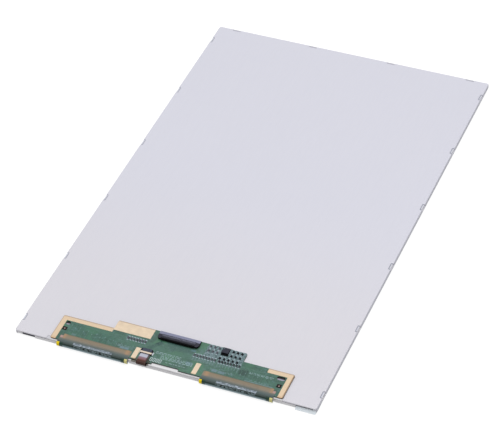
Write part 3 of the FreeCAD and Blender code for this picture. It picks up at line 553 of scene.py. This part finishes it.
def driver_film(side):
    """A driver film: tan on the board, grey beyond, a dark painted reflection in the bend, and yellow ends.
    """
    low, high = box_mm(side + "_driver_film")
    chip_low, chip_high = box_mm(side + "_driver_chip")
    finish = Finish(side + "_driver_film_finish", roughness=0.4, specular=0.15)
    film_ground(finish, low, high, chip_low)
    film_below_chip(finish, high, chip_low, chip_high)
    on_strip = finish.step(finish.y, high.y - 3.0, high.y - 2.4)
    traces = finish.stripes(finish.x, 0.22, 0.5, 0.3)
    finish.tint(finish.times(traces, on_strip, 0.14), srgb(186, 170, 148))
    from_left = finish.math("SUBTRACT", finish.x, low.x)
    from_right = finish.math("SUBTRACT", high.x, finish.x)
    film_ends(finish, from_left, from_right, chip_low, on_strip)
    film_outer_end(finish, high, from_left if side == "left" else from_right, on_strip)
    finish.set("Roughness", finish.step(finish.noise(0.8, detail=3.0), 0.2, 0.8, 0.3, 0.5))
    finish.bump(traces, 0.006)
    return finish


def driver_silicon():
    """A driver chip's polished back under resin: blue-grey with dark blotches, and bright blotches of
    painted reflection, stronger on the right chip.
    """
    finish = Finish("driver_silicon", roughness=0.25, specular=0.5)
    low, high = box_mm("left_driver_chip")
    stops = stops_from(low.y, (0.0, 136, 150, 158), (0.8, 130, 143, 154))
    finish.paint(finish.ramp(finish.y, stops + stops_from(high.y, (0.0, 104, 113, 120))))
    blotch = finish.step(finish.noise(1.1, detail=3.0, stretch=(1, 0.7, 1)), 0.44, 0.60)
    finish.tint(finish.times(blotch, 0.6), srgb(76, 90, 96))
    # Painted reflections: bright blue-white blotches, stronger on the right chip.
    bright = finish.step(finish.noise(0.9, detail=2.0, stretch=(1, 0.6, 1)), 0.52, 0.64)
    glint_strength = finish.step(finish.x, -1.0, 1.0, 0.58, 1.0)
    finish.tint(finish.times(bright, glint_strength), srgb(184, 196, 212))
    finish.on_sides(srgb(58, 70, 72))
    finish.bump(blotch, 0.004)
    return finish


def backlight_flex():
    """The lamp strip's film: brown at the fold, a rose cover layer, a lilac stiffened end, and painted
    shadow along its right side.
    """
    finish = Finish("backlight_flex", roughness=0.32, specular=0.2)
    low, high = box_mm("backlight_flex")
    stops = stops_from(
        low.y, (0.0, 34, 12, 0), (1.0, 48, 14, 0), (1.7, 80, 40, 28), (2.3, 134, 96, 104),
        (3.1, 138, 112, 124), (3.5, 154, 138, 158), (3.8, 194, 200, 218))
    finish.paint(finish.ramp(finish.y, stops + stops_from(high.y, (0.0, 202, 208, 224))))
    # Painted shadow along the tail's right side.
    right_side_shadow = finish.step(finish.x, TAIL_SHADOW_FROM - 0.15, TAIL_SHADOW_FROM + 0.15, 0.0, 0.9)
    finish.tint(right_side_shadow, srgb(44, 32, 26))
    traces = finish.stripes(finish.x, 0.5, 0.55, 0.2)
    finish.tint(finish.times(traces, 0.15), srgb(180, 130, 120))
    finish.set("Roughness", finish.step(finish.noise(0.7, detail=3.0), 0.2, 0.8, 0.26, 0.44))
    finish.bump(traces, 0.006)
    return finish


def cell_glass():
    """Sheet glass: grey-green and frosted at its ground edges, smooth on its faces."""
    finish = Finish("cell_glass", roughness=0.2, specular=0.6)
    ground = finish.noise(0.08, detail=3.0)
    finish.paint(srgb(58, 62, 66))
    finish.on_sides(finish.mix(ground, srgb(70, 76, 78), srgb(104, 112, 114)))
    finish.set("Roughness", finish.step(finish.upward(), 0.0, 1.0, 0.55, 0.08))
    finish.bump(ground, 0.004)
    return finish


def connector_plastic(name, stops, sides, mottle, roughness):
    """Moulded resin with glass fibre: toned along Y on top, darker on its sides with painted shade, mottled
    by streaks.
    """
    finish = Finish(name, roughness, specular=0.03)
    streaks = finish.noise(0.5, detail=4.0, stretch=(1.6, 0.6, 1))
    finish.paint(finish.ramp(finish.y, stops))
    finish.tint(finish.step(streaks, 0.35, 0.7, 0.0, mottle), srgb(20, 20, 24))
    # Painted shade on the upright faces.
    finish.on_sides(sides)
    finish.set("Roughness", finish.step(streaks, 0.2, 0.8, roughness - 0.08, roughness + 0.08))
    finish.bump(streaks, 0.008)
    return finish


def panel_housing():
    """The panel connector's shell: a smooth lilac roof, and dark ears beside the lock."""
    low, high = box_mm("panel_connector_housing")
    roof, ear = srgb(146, 149, 174), srgb(66, 66, 76)
    stops = [(low.y, ear), (high.y - 1.75, ear), (high.y - 1.5, roof), (high.y, roof)]
    return connector_plastic("panel_connector_plastic", stops, srgb(12, 15, 15), 0.12, 0.42)


def panel_lock():
    """The panel connector's lock: mottled dark grey, with painted shade in black along the edge that a
    finger lifts.
    """
    low, high = box_mm("panel_connector_lock")
    stops = stops_from(
        low.y, (0.0, 1, 2, 2), (0.75, 1, 2, 2), (0.95, 62, 63, 70), (1.6, 66, 67, 76), (2.0, 96, 97, 110))
    stops += stops_from(high.y, (0.0, 132, 134, 155))
    return connector_plastic("panel_lock_plastic", stops, srgb(1, 2, 2), 0.5, 0.45)


def light_housing():
    """The backlight connector's shell: a cream bar over the mouth, and dark behind it."""
    low, high = box_mm("backlight_connector_housing")
    cream, dark = srgb(242, 225, 206), srgb(48, 42, 52)
    stops = [(low.y, cream), (low.y + 0.9, cream), (low.y + 1.0, dark), (high.y, dark)]
    return connector_plastic("backlight_connector_plastic", stops, srgb(40, 18, 18), 0.08, 0.4)


def black_plastic(name, resin):
    """The power chip's or the backlight lock's dark resin, black on its sides as painted shade."""
    stops = [(BOARD_LOW.y, resin), (BOARD_HIGH.y, resin)]
    return connector_plastic(name, stops, srgb(12, 12, 14), 0.3, 0.4)


def chip_finish(name, dark, grey, grain):
    """Fired chip bodies or their end caps: near black at the board's right, grey at its left."""
    finish = cloudy(name, dark, 0.3, 0.7, 0.5, grain=grain, specular=0.1)
    at_left = finish.step(finish.x, CHIPS_DARK_FROM - 0.3, CHIPS_DARK_FROM + 0.3, 0.85, 0.0)
    near_row = finish.step(finish.y, CHIP_ROW_FAR_Y - 0.3, CHIP_ROW_FAR_Y, 0.45, 0.0)
    finish.tint(finish.math("MAXIMUM", at_left, near_row), grey)
    return finish


def plated_metal(name, colour, roughness, metallic=0.7):
    """Bright plated metal with soft blotches from soldering."""
    finish = Finish(name, roughness, metallic=metallic)
    blotch = finish.noise(0.35, detail=3.0, contrast=0.3)
    finish.paint(finish.mix(blotch, shade(colour, 0.82), shade(colour, 1.08)))
    finish.set("Roughness", finish.step(blotch, 0.0, 1.0, roughness - 0.08, roughness + 0.12))
    finish.bump(blotch, 0.01)
    return finish


# The finishes of the record's slots, by name, and of the nodes that differ from their slot.
SLOT_FINISHES = {finish.name: finish for finish in (
    plate_metal(),
    frame_plastic(),
    clear_film("protective_film", srgb(222, 230, 238), 0.35, 0.22),
    cloudy("polarizer", srgb(30, 31, 34), 0.06, 40.0, 0.16, grain=1.5, depth=0.001),
    cell_glass(),
    cloudy("black_tape", srgb(58, 58, 70), 0.1, 3.0, 0.6),
    cloudy("optical_sheet", srgb(226, 228, 232), 0.02, 20.0, 0.3, depth=0.001),
    cloudy("light_guide", srgb(214, 220, 226), 0.02, 15.0, 0.14, depth=0.001),
    cloudy("reflector", srgb(244, 245, 248), 0.01, 20.0, 0.25, depth=0.001),
    cloudy("lamp_resin", srgb(234, 210, 96), 0.08, 1.0, 0.35),
    cloudy("board_tape", srgb(20, 20, 22), 0.1, 3.0, 0.7),
    solder_mask(),
    gold_plating(),
    driver_silicon(),
    panel_housing(),
    panel_lock(),
    plated_metal("contact_plating", srgb(232, 206, 150), 0.3),
    plated_metal("tin_plating", srgb(224, 228, 234), 0.3),
    light_housing(),
    black_plastic("black_plastic", srgb(70, 72, 83)),
    chip_finish("chip_ceramic", srgb(18, 22, 26), srgb(92, 93, 101), 0.1),
    backlight_flex(),
)}
NODE_FINISHES = {
    "left_driver_film": driver_film("left"),
    "right_driver_film": driver_film("right"),
    # The panel connector's contacts and tabs, and the chip parts' caps, are darkened with painted shade.
    "panel_connector_contacts": plated_metal("shaded_contacts", srgb(40, 46, 42), 0.45, 0.2),
    "panel_connector_tabs": plated_metal("shaded_tin", srgb(44, 46, 52), 0.4, 0.2),
    "chip_part_caps": chip_finish("shaded_cap_metal", srgb(34, 40, 46), srgb(110, 112, 122), 0.15),
    "backlight_connector_lock": black_plastic("light_lock_plastic", srgb(80, 88, 104)),
}

# Finishes of the fine work that this script adds.
COPPER = cloudy("bare_copper", srgb(164, 138, 130), 0.1, 0.5, 0.4, grain=0.15)
LAMINATE = cloudy("bare_laminate", srgb(36, 30, 30), 0.15, 0.6, 0.6, specular=0.1)
# Black for the pieces of painted shade by the power chip and chip parts.
SHADE_RESIN = cloudy("black_shade_resin", srgb(3, 6, 7), 0.2, 0.8, 0.5, specular=0.05)
SOLDER = plated_metal("solder", srgb(172, 192, 200), 0.45, 0.1)
INK = cloudy("white_ink", srgb(190, 208, 210), 0.10, 0.4, 0.6, grain=0.12)
PALE_INK = cloudy("pale_ink", srgb(150, 176, 180), 0.12, 0.4, 0.6, grain=0.12)
FAINT_INK = cloudy("faint_ink", srgb(100, 130, 130), 0.12, 0.4, 0.5, grain=0.12)
TAB_TAPE = clear_film("tab_tape", srgb(238, 246, 254), 0.85, 0.3)
TRACE = cloudy("covered_trace", srgb(76, 116, 102), 0.08, 0.6, 0.34, grain=0.12)


def dress_nodes():
    """Puts each node's finish on it, by the record's list of nodes and slots."""
    for row in frame["record"]["subparts"]:
        node = row["node"]
        finish = NODE_FINISHES.get(node) or SLOT_FINISHES[row["material_slot"]]
        mesh = frame["nodes"][node].data
        mesh.materials.clear()
        mesh.materials.append(finish.material)


# Mesh work. Shapes are drawn in millimetres and brought to metres as a piece is made.


def extrude(shell, loop, offset):
    """A closed solid: a loop of points, and the same loop moved by an offset."""
    near = [shell.verts.new(point) for point in loop]
    far = [shell.verts.new(Vector(point) + Vector(offset)) for point in loop]
    shell.faces.new(near)
    shell.faces.new(list(reversed(far)))
    for i in range(len(near)):
        j = (i + 1) % len(near)
        shell.faces.new((near[i], far[i], far[j], near[j]))


def rectangle(low_x, high_x, low_y, high_y):
    return [(low_x, low_y), (high_x, low_y), (high_x, high_y), (low_x, high_y)]


def circle(x, y, radius, steps):
    turn = [Matrix.Rotation(tau * i / steps, 2) @ Vector((radius, 0)) for i in range(steps)]
    return [(x + point.x, y + point.y) for point in turn]


def ribbon(points, width):
    """The outline of a strip of even width along a bent line."""
    sharpest = 0.3
    line = [Vector(point) for point in points]
    left, right = [], []
    for i, point in enumerate(line):
        before = (point - line[i - 1]).normalized() if i else (line[1] - point).normalized()
        after = (line[i + 1] - point).normalized() if i + 1 < len(line) else before
        side = Vector((-(before + after).y, (before + after).x)).normalized()
        reach = width / 2 / max(side.dot(Vector((-after.y, after.x))), sharpest)
        left.append(point + side * reach)
        right.append(point - side * reach)
    return [tuple(point) for point in left + right[::-1]]


def add_object(name, data):
    """Puts a new object into the scene."""
    added = bpy.data.objects.new(name, data)
    bpy.context.scene.collection.objects.link(added)
    return added


def add_mesh(name, shell, material):
    """Turns a drawn shell into an object of one material."""
    mesh = bpy.data.meshes.new(name)
    shell.to_mesh(mesh)
    shell.free()
    mesh.materials.append(material)
    return add_object(name, mesh)


def make_piece(name, shell, finish):
    """Turns a shell drawn in millimetres into a piece of the module."""
    bmesh.ops.recalc_face_normals(shell, faces=shell.faces)
    bmesh.ops.scale(shell, vec=(MM, MM, MM), verts=shell.verts)
    piece = add_mesh(name, shell, finish.material)
    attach(piece, "module")


def solids(node):
    """The boxes, in millimetres, of the separate solids in a node."""
    shell = bmesh.new()
    shell.from_mesh(frame["nodes"][node].data)
    bmesh.ops.remove_doubles(shell, verts=shell.verts, dist=MM / 1000)
    left = set(shell.verts)
    boxes = []
    while left:
        group, edge = set(), [left.pop()]
        while edge:
            vertex = edge.pop()
            group.add(vertex)
            near = {e.other_vert(vertex) for e in vertex.link_edges} & left
            left -= near
            edge += near
        axes = list(zip(*(v.co / MM for v in group)))
        boxes.append((Vector(map(min, axes)), Vector(map(max, axes))))
    shell.free()
    return sorted(boxes, key=lambda pair: tuple(round(c, 3) for c in pair[0]))


# The board's fine work, in millimetres: how high it stands, and how deep it is let in.
TRACE_HEIGHT = 0.012
VIA_HEIGHT = 0.015
PRINT_HEIGHT = 0.015
PAD_HEIGHT = 0.015
SHADE_RESIN_HEIGHT = 0.019
CLEARING_HEIGHT = 0.006
COPPER_HEIGHT = 0.014
DOT_HEIGHT = 0.004
SINK = 0.004
CHIP_BODIES = solids("chip_part_bodies")

# Alignment marks on the board: their middles.
MARK_PLACES = ((-50.3, -107.3), (51.3, -108.2))

# Fields of printed bars: their sides, how many rows, and how thick a bar is.
PALE_FIELDS = (
    (-6.3, 5.4, -108.1, -106.5, 2, 0.34),
    (-3.4, 11.6, -110.5, -108.3, 3, 0.34),
    (0.0, 9.0, -112.3, -111.2, 1, 0.3),
    (36.4, 47.6, -105.8, -104.5, 2, 0.24),
)
FAINT_FIELDS = (
    (-24.0, -18.5, -109.3, -108.0, 2, 0.5),
    (20.0, 30.0, -109.4, -108.2, 2, 0.4),
    (38.0, 47.0, -109.6, -108.8, 1, 0.4),
)

# Printed bars: how long they are, the gaps between them, and the least room that takes another.
BAR_LENGTHS, BAR_GAPS, BAR_ROOM = (0.5, 1.6), (0.35, 0.7), 0.4


def on_board(shell, outline, height):
    """A flat shape of a height on the board, let in a hair below its surface."""
    extrude(shell, [(x, y, BOARD_TOP - SINK) for x, y in outline], (0, 0, height + SINK))


def frame_lines(shell, low_x, high_x, low_y, high_y, width):
    """A printed rectangle, drawn as four thin bars."""
    inner_low, inner_high = low_y + width, high_y - width
    bars = (
        (low_x, high_x, low_y, inner_low),
        (low_x, high_x, inner_high, high_y),
        (low_x, low_x + width, inner_low, inner_high),
        (high_x - width, high_x, inner_low, inner_high),
    )
    for sides in bars:
        on_board(shell, rectangle(*sides), PRINT_HEIGHT)


def trace_route(tail_x, tail_y, level, landing_x, landing_y, bend=0.6):
    """A routed line: out of a contact, along the board and down to the film, with 45 degree turns."""
    way = 1 if landing_x > tail_x else -1
    return [
        (tail_x, tail_y), (tail_x, level + bend), (tail_x + way * bend, level),
        (landing_x - way * bend, level), (landing_x, level - bend), (landing_x, landing_y),
    ]


def board_traces():
    """Lines under the lacquer from the panel connector to the two driver films, with vias."""
    width, pitch, first_level, tail_gap = 0.14, 0.27, -102.9, 0.25
    left_inset, right_inset, inner_inset = 2.1, 4.9, 2.1
    via_radius, via_steps, via_drop, via_stagger = 0.26, 12, 1.6, 1.1
    contacts = solids("panel_connector_contacts")
    half = len(contacts) // 2
    left_low, left_high = box_mm("left_driver_film")
    right_low, right_high = box_mm("right_driver_film")
    sides = (
        (contacts[:half], left_low.x + left_inset, left_high.x - inner_inset),
        (contacts[:half:-1], right_high.x - right_inset, right_low.x + inner_inset),
    )
    lines, vias = bmesh.new(), bmesh.new()
    for tails, outer, inner in sides:
        for i, (tail_low, tail_high) in enumerate(tails):
            landing = outer + (inner - outer) * i / (half - 1)
            level = first_level - i * pitch
            tail_x = (tail_low.x + tail_high.x) / 2
            route = trace_route(tail_x, tail_low.y - tail_gap, level, landing, left_high.y)
            on_board(lines, ribbon(route, width), TRACE_HEIGHT)
            via_y = level - via_drop - via_stagger * (i % 2)
            on_board(vias, circle(landing, via_y, via_radius, via_steps), VIA_HEIGHT)
    make_piece("board_traces", lines, TRACE)
    make_piece("board_vias", vias, FAINT_INK)


def fillet(shell, low_x, high_x, wall_y, toe_y, height):
    """A hollow slope of solder or resin from a wall down to the board."""
    reach = toe_y - wall_y
    profile = [(0.0, 0.0), (0.0, 1.0), (0.3, 0.45), (0.65, 0.15), (1.0, 0.04), (1.0, 0.0)]
    loop = [(low_x, wall_y + reach * out, BOARD_TOP + height * up) for out, up in profile]
    extrude(shell, loop, (high_x - low_x, 0, 0))


def chip_soldering():
    """A pad and a slope of solder at each end of every chip part."""
    near_reach, far_reach, edge_gap = 0.34, 0.78, 0.05
    pad_spare, fillet_inset, rise = 0.06, 0.03, 0.6
    shell = bmesh.new()
    for low, high in solids("chip_part_caps"):
        middle = (low + high) / 2
        body = min(CHIP_BODIES, key=lambda pair: ((pair[0] + pair[1]) / 2 - middle).length)
        if 2 * middle.y > body[0].y + body[1].y:
            wall, inner = high.y, low.y
            toe = min(wall + far_reach, BOARD_HIGH.y - edge_gap)
        else:
            wall, inner = low.y, high.y
            toe = wall - near_reach
        pad = rectangle(low.x - pad_spare, high.x + pad_spare, *sorted((inner, toe)))
        on_board(shell, pad, PAD_HEIGHT)
        fillet(shell, low.x + fillet_inset, high.x - fillet_inset, wall, toe, (high.z - low.z) * rise)
    make_piece("chip_solder", shell, SOLDER)


def connector_soldering():
    """Pads and solder at the backlight connector's contact tails and hold-down tabs."""
    tail_spare, tail_back, tail_front, tail_reach, tail_height = 0.05, 0.45, 0.3, 0.2, 0.12
    tab_side, tab_end, tab_reach, tab_height = 0.2, 0.3, 0.25, 0.3
    shell = bmesh.new()
    for low, high in solids("backlight_connector_contacts"):
        tail = high.y
        pad = rectangle(low.x - tail_spare, high.x + tail_spare, tail - tail_back, tail + tail_front)
        on_board(shell, pad, PAD_HEIGHT)
        fillet(shell, low.x, high.x, tail, tail + tail_reach, tail_height)
    for low, high in solids("backlight_connector_tabs"):
        pad = rectangle(low.x - tab_side, high.x + tab_side, low.y - tab_end, high.y + tab_end)
        on_board(shell, pad, PAD_HEIGHT)
        fillet(shell, low.x, high.x, low.y, low.y - tab_reach, tab_height)
        fillet(shell, low.x, high.x, high.y, high.y + tab_reach, tab_height)
    make_piece("connector_solder", shell, SLOT_FINISHES["tin_plating"])


def power_chip_leads():
    """Pads round the power chip's foot, and the dot that marks its first one."""
    low, high = box_mm("power_chip")
    count, half, reach, height = 5, 0.13, 0.28, 0.09
    dot_inset, dot_radius, dot_steps = 0.55, 0.2, 20
    shell = bmesh.new()
    for i in range(count):
        share = (i + 0.5) / count
        x = low.x + (high.x - low.x) * share
        y = low.y + (high.y - low.y) * share
        for side in (low.y - reach, high.y):
            on_board(shell, rectangle(x - half, x + half, side, side + reach), height)
        for side in (low.x - reach, high.x):
            on_board(shell, rectangle(side, side + reach, y - half, y + half), height)
    make_piece("power_chip_leads", shell, SOLDER)
    mark = bmesh.new()
    dot = circle(low.x + dot_inset, high.y - dot_inset, dot_radius, dot_steps)
    extrude(mark, [(x, y, high.z - SINK) for x, y in dot], (0, 0, SINK + DOT_HEIGHT))
    make_piece("power_chip_mark", mark, FAINT_INK)


def paint_shade_resin():
    """Painted shade as black resin: a fillet along the power chip's near side, and spots under chip parts.
    """
    draws = random.Random(SEED + 1)
    low, high = box_mm("power_chip")
    left_inset, right_spare, reach, rise = 0.1, 0.2, 1.0, 0.6
    spot_side, spot_near, spot_far, row_share = (0.12, 0.24), 0.1, (0.0, 0.3), 0.25
    slope, spots = bmesh.new(), bmesh.new()
    height = (high.z - BOARD_TOP) * rise
    fillet(slope, low.x + left_inset, high.x + right_spare, low.y, low.y - reach, height)
    make_piece("power_chip_shade_fillet", slope, SHADE_RESIN)
    for chip_low, chip_high in CHIP_BODIES:
        if chip_low.x > CHIPS_DARK_FROM and (chip_high.y > CHIP_ROW_FAR_Y or draws.random() < row_share):
            side, far = draws.uniform(*spot_side), draws.uniform(*spot_far)
            across = (chip_low.x - side, chip_high.x + side)
            along = (chip_low.y - spot_near, chip_high.y + far)
            on_board(spots, rectangle(*across, *along), SHADE_RESIN_HEIGHT)
    make_piece("chip_shade_spots", spots, SHADE_RESIN)


def alignment_marks():
    """Dark clearings in the lacquer, each with a bare copper dot."""
    half_x, half_y, dot_radius, dot_steps = 1.1, 1.05, 0.36, 24
    clearings, copper = bmesh.new(), bmesh.new()
    for x, y in MARK_PLACES:
        on_board(clearings, rectangle(x - half_x, x + half_x, y - half_y, y + half_y), CLEARING_HEIGHT)
        on_board(copper, circle(x, y, dot_radius, dot_steps), COPPER_HEIGHT)
    make_piece("mask_clearings", clearings, LAMINATE)
    make_piece("copper_marks", copper, COPPER)


def pull_tab():
    """The tape on the protective film's tab, sagging from the wall to past the film's edge."""
    thick, wall_top, flat, overhang, sag = 0.03, 0.98, 0.065, 0.5, 0.06
    wall_gap, side_inset, width = 0.02, 0.2, 9.2
    film_low, film_high = box_mm("front_protective_film")
    wall, end = box_mm("edge_tapes")[0].y - wall_gap, film_low.y - overhang
    left = film_high.x - side_inset - width
    middle_y, middle_z = (wall + end) / 2, (wall_top + flat) / 2 - sag
    outer = [(wall, wall_top), (middle_y, middle_z + thick), (end, flat + thick)]
    inner = [(end, flat), (middle_y, middle_z), (wall, wall_top - 2 * thick)]
    shell = bmesh.new()
    extrude(shell, [(left, y, z) for y, z in outer + inner], (width, 0, 0))
    make_piece("pull_tab", shell, TAB_TAPE)


def bar_field(shell, low_x, high_x, low_y, high_y, rows, thick, draws):
    """Fills a field with rows of short bars of uneven length."""
    pitch = (high_y - low_y) / rows
    for row in range(rows):
        y = low_y + pitch * (row + 0.5)
        x = low_x
        while x < high_x - BAR_ROOM:
            length = min(draws.uniform(*BAR_LENGTHS), high_x - x)
            on_board(shell, rectangle(x, x + length, y - thick / 2, y + thick / 2), PRINT_HEIGHT)
            x += length + draws.uniform(*BAR_GAPS)


def board_print():
    """Printed marks: an outline round the power chip, plain boxes, fields of bars, ticks below chips."""
    draws = random.Random(SEED)
    outline_gap, outline_width = 0.6, 0.15
    box_count, first_box, box_pitch, box_width, box_line = 4, -7.2, 1.4, 1.05, 0.26
    box_low, box_high = -112.9, -110.8
    tick_half, tick_low, tick_gap = 0.16, -106.4, 1.1
    bright, pale, faint = bmesh.new(), bmesh.new(), bmesh.new()
    low, high = box_mm("power_chip")
    across = (low.x - outline_gap, high.x + outline_gap)
    along = (low.y - outline_gap, high.y + outline_gap)
    frame_lines(faint, *across, *along, outline_width)
    for i in range(box_count):
        x = first_box + box_pitch * i
        frame_lines(bright, x, x + box_width, box_low, box_high, box_line)
    for shell, fields in ((pale, PALE_FIELDS), (faint, FAINT_FIELDS)):
        for field in fields:
            bar_field(shell, *field, draws)
    for chip_low, chip_high in CHIP_BODIES:
        x = (chip_low.x + chip_high.x) / 2
        if x > 0 and chip_high.y < CHIP_ROW_FAR_Y:
            tick = rectangle(x - tick_half, x + tick_half, tick_low, chip_low.y - tick_gap)
            on_board(faint, tick, PRINT_HEIGHT)
    make_piece("board_print_bright", bright, INK)
    make_piece("board_print_pale", pale, PALE_INK)
    make_piece("board_print_faint", faint, FAINT_INK)


# Stage: floor, sky, soft box and camera.


def seen_ray(nodes, links):
    """1 for rays from the camera, from gloss and through clear pieces."""
    path = nodes.new("ShaderNodeLightPath")
    total = path.outputs["Is Camera Ray"]
    for name in ("Is Glossy Ray", "Is Transmission Ray"):
        most = nodes.new("ShaderNodeMath")
        most.operation = "MAXIMUM"
        links.new(total, most.inputs[0])
        links.new(path.outputs[name], most.inputs[1])
        total = most.outputs[0]
    return total


def diffuse(nodes, level):
    node = nodes.new("ShaderNodeBsdfDiffuse")
    node.inputs["Color"].default_value = (level, level, level, 1.0)
    return node.outputs[0]


def floor_finish():
    """A pale floor that shows as white, with the module's soft shadow on it."""
    material = bpy.data.materials.new("floor_white")
    material.use_nodes = True
    nodes, links = material.node_tree.nodes, material.node_tree.links
    nodes.clear()
    glow = nodes.new("ShaderNodeEmission")
    glow.inputs["Color"].default_value = WHITE
    glow.inputs["Strength"].default_value = FLOOR_GLOW
    shown = nodes.new("ShaderNodeAddShader")
    links.new(glow.outputs[0], shown.inputs[0])
    links.new(diffuse(nodes, FLOOR_SHADING), shown.inputs[1])
    blend = nodes.new("ShaderNodeMixShader")
    links.new(seen_ray(nodes, links), blend.inputs[0])
    links.new(diffuse(nodes, FLOOR_BOUNCE), blend.inputs[1])
    links.new(shown.outputs[0], blend.inputs[2])
    links.new(blend.outputs[0], nodes.new("ShaderNodeOutputMaterial").inputs["Surface"])
    return material


def make_floor():
    shell = bmesh.new()
    half = FLOOR_SIZE / 2
    corners = [shell.verts.new((x, y, -FLOOR_DROP)) for x, y in rectangle(-half, half, -half, half)]
    shell.faces.new(corners)
    floor = add_mesh("floor", shell, floor_finish())


def make_sky():
    """An even sky, white where it is seen."""
    world = bpy.data.worlds.new("studio")
    bpy.context.scene.world = world
    world.use_nodes = True
    nodes, links = world.node_tree.nodes, world.node_tree.links
    nodes.clear()
    blend = nodes.new("ShaderNodeMixShader")
    links.new(seen_ray(nodes, links), blend.inputs[0])
    for socket, strength in zip(blend.inputs[1:], (SKY_STRENGTH, 1.0)):
        background = nodes.new("ShaderNodeBackground")
        background.inputs["Color"].default_value = WHITE
        background.inputs["Strength"].default_value = strength
        links.new(background.outputs[0], socket)
    links.new(blend.outputs[0], nodes.new("ShaderNodeOutputWorld").inputs["Surface"])


def make_soft_box():
    lamp = bpy.data.lights.new("soft_box", "AREA")
    lamp.size = BOX_SIZE
    lamp.energy = BOX_POWER
    soft_box = add_object("soft_box", lamp)
    soft_box.location = BOX_PLACE
    soft_box.rotation_euler = (-Vector(BOX_PLACE)).to_track_quat("-Z", "Y").to_euler()


def make_camera():
    """The photograph's own view, as a long lens from the near right."""
    place, aim = Vector(CAMERA_PLACE) * MM, Vector(CAMERA_AIM) * MM
    forward = (aim - place).normalized()
    right = Vector(CAMERA_RIGHT)
    right = (right - forward * right.dot(forward)).normalized()
    up = right.cross(forward)
    data = bpy.data.cameras.new("camera")
    data.sensor_width = SENSOR_WIDTH
    data.lens = FOCAL_PIXELS * SENSOR_WIDTH / PHOTO_WIDTH
    data.clip_end = CAMERA_REACH * MM
    camera = add_object("camera", data)
    camera.matrix_world = Matrix.Translation(place) @ Matrix((right, up, -forward)).transposed().to_4x4()
    bpy.context.scene.camera = camera


bpy.context.scene.view_settings.view_transform = "Standard"
dress_nodes()
board_traces()
chip_soldering()
connector_soldering()
power_chip_leads()
paint_shade_resin()
alignment_marks()
pull_tab()
board_print()
make_floor()
make_sky()
make_soft_box()
make_camera()
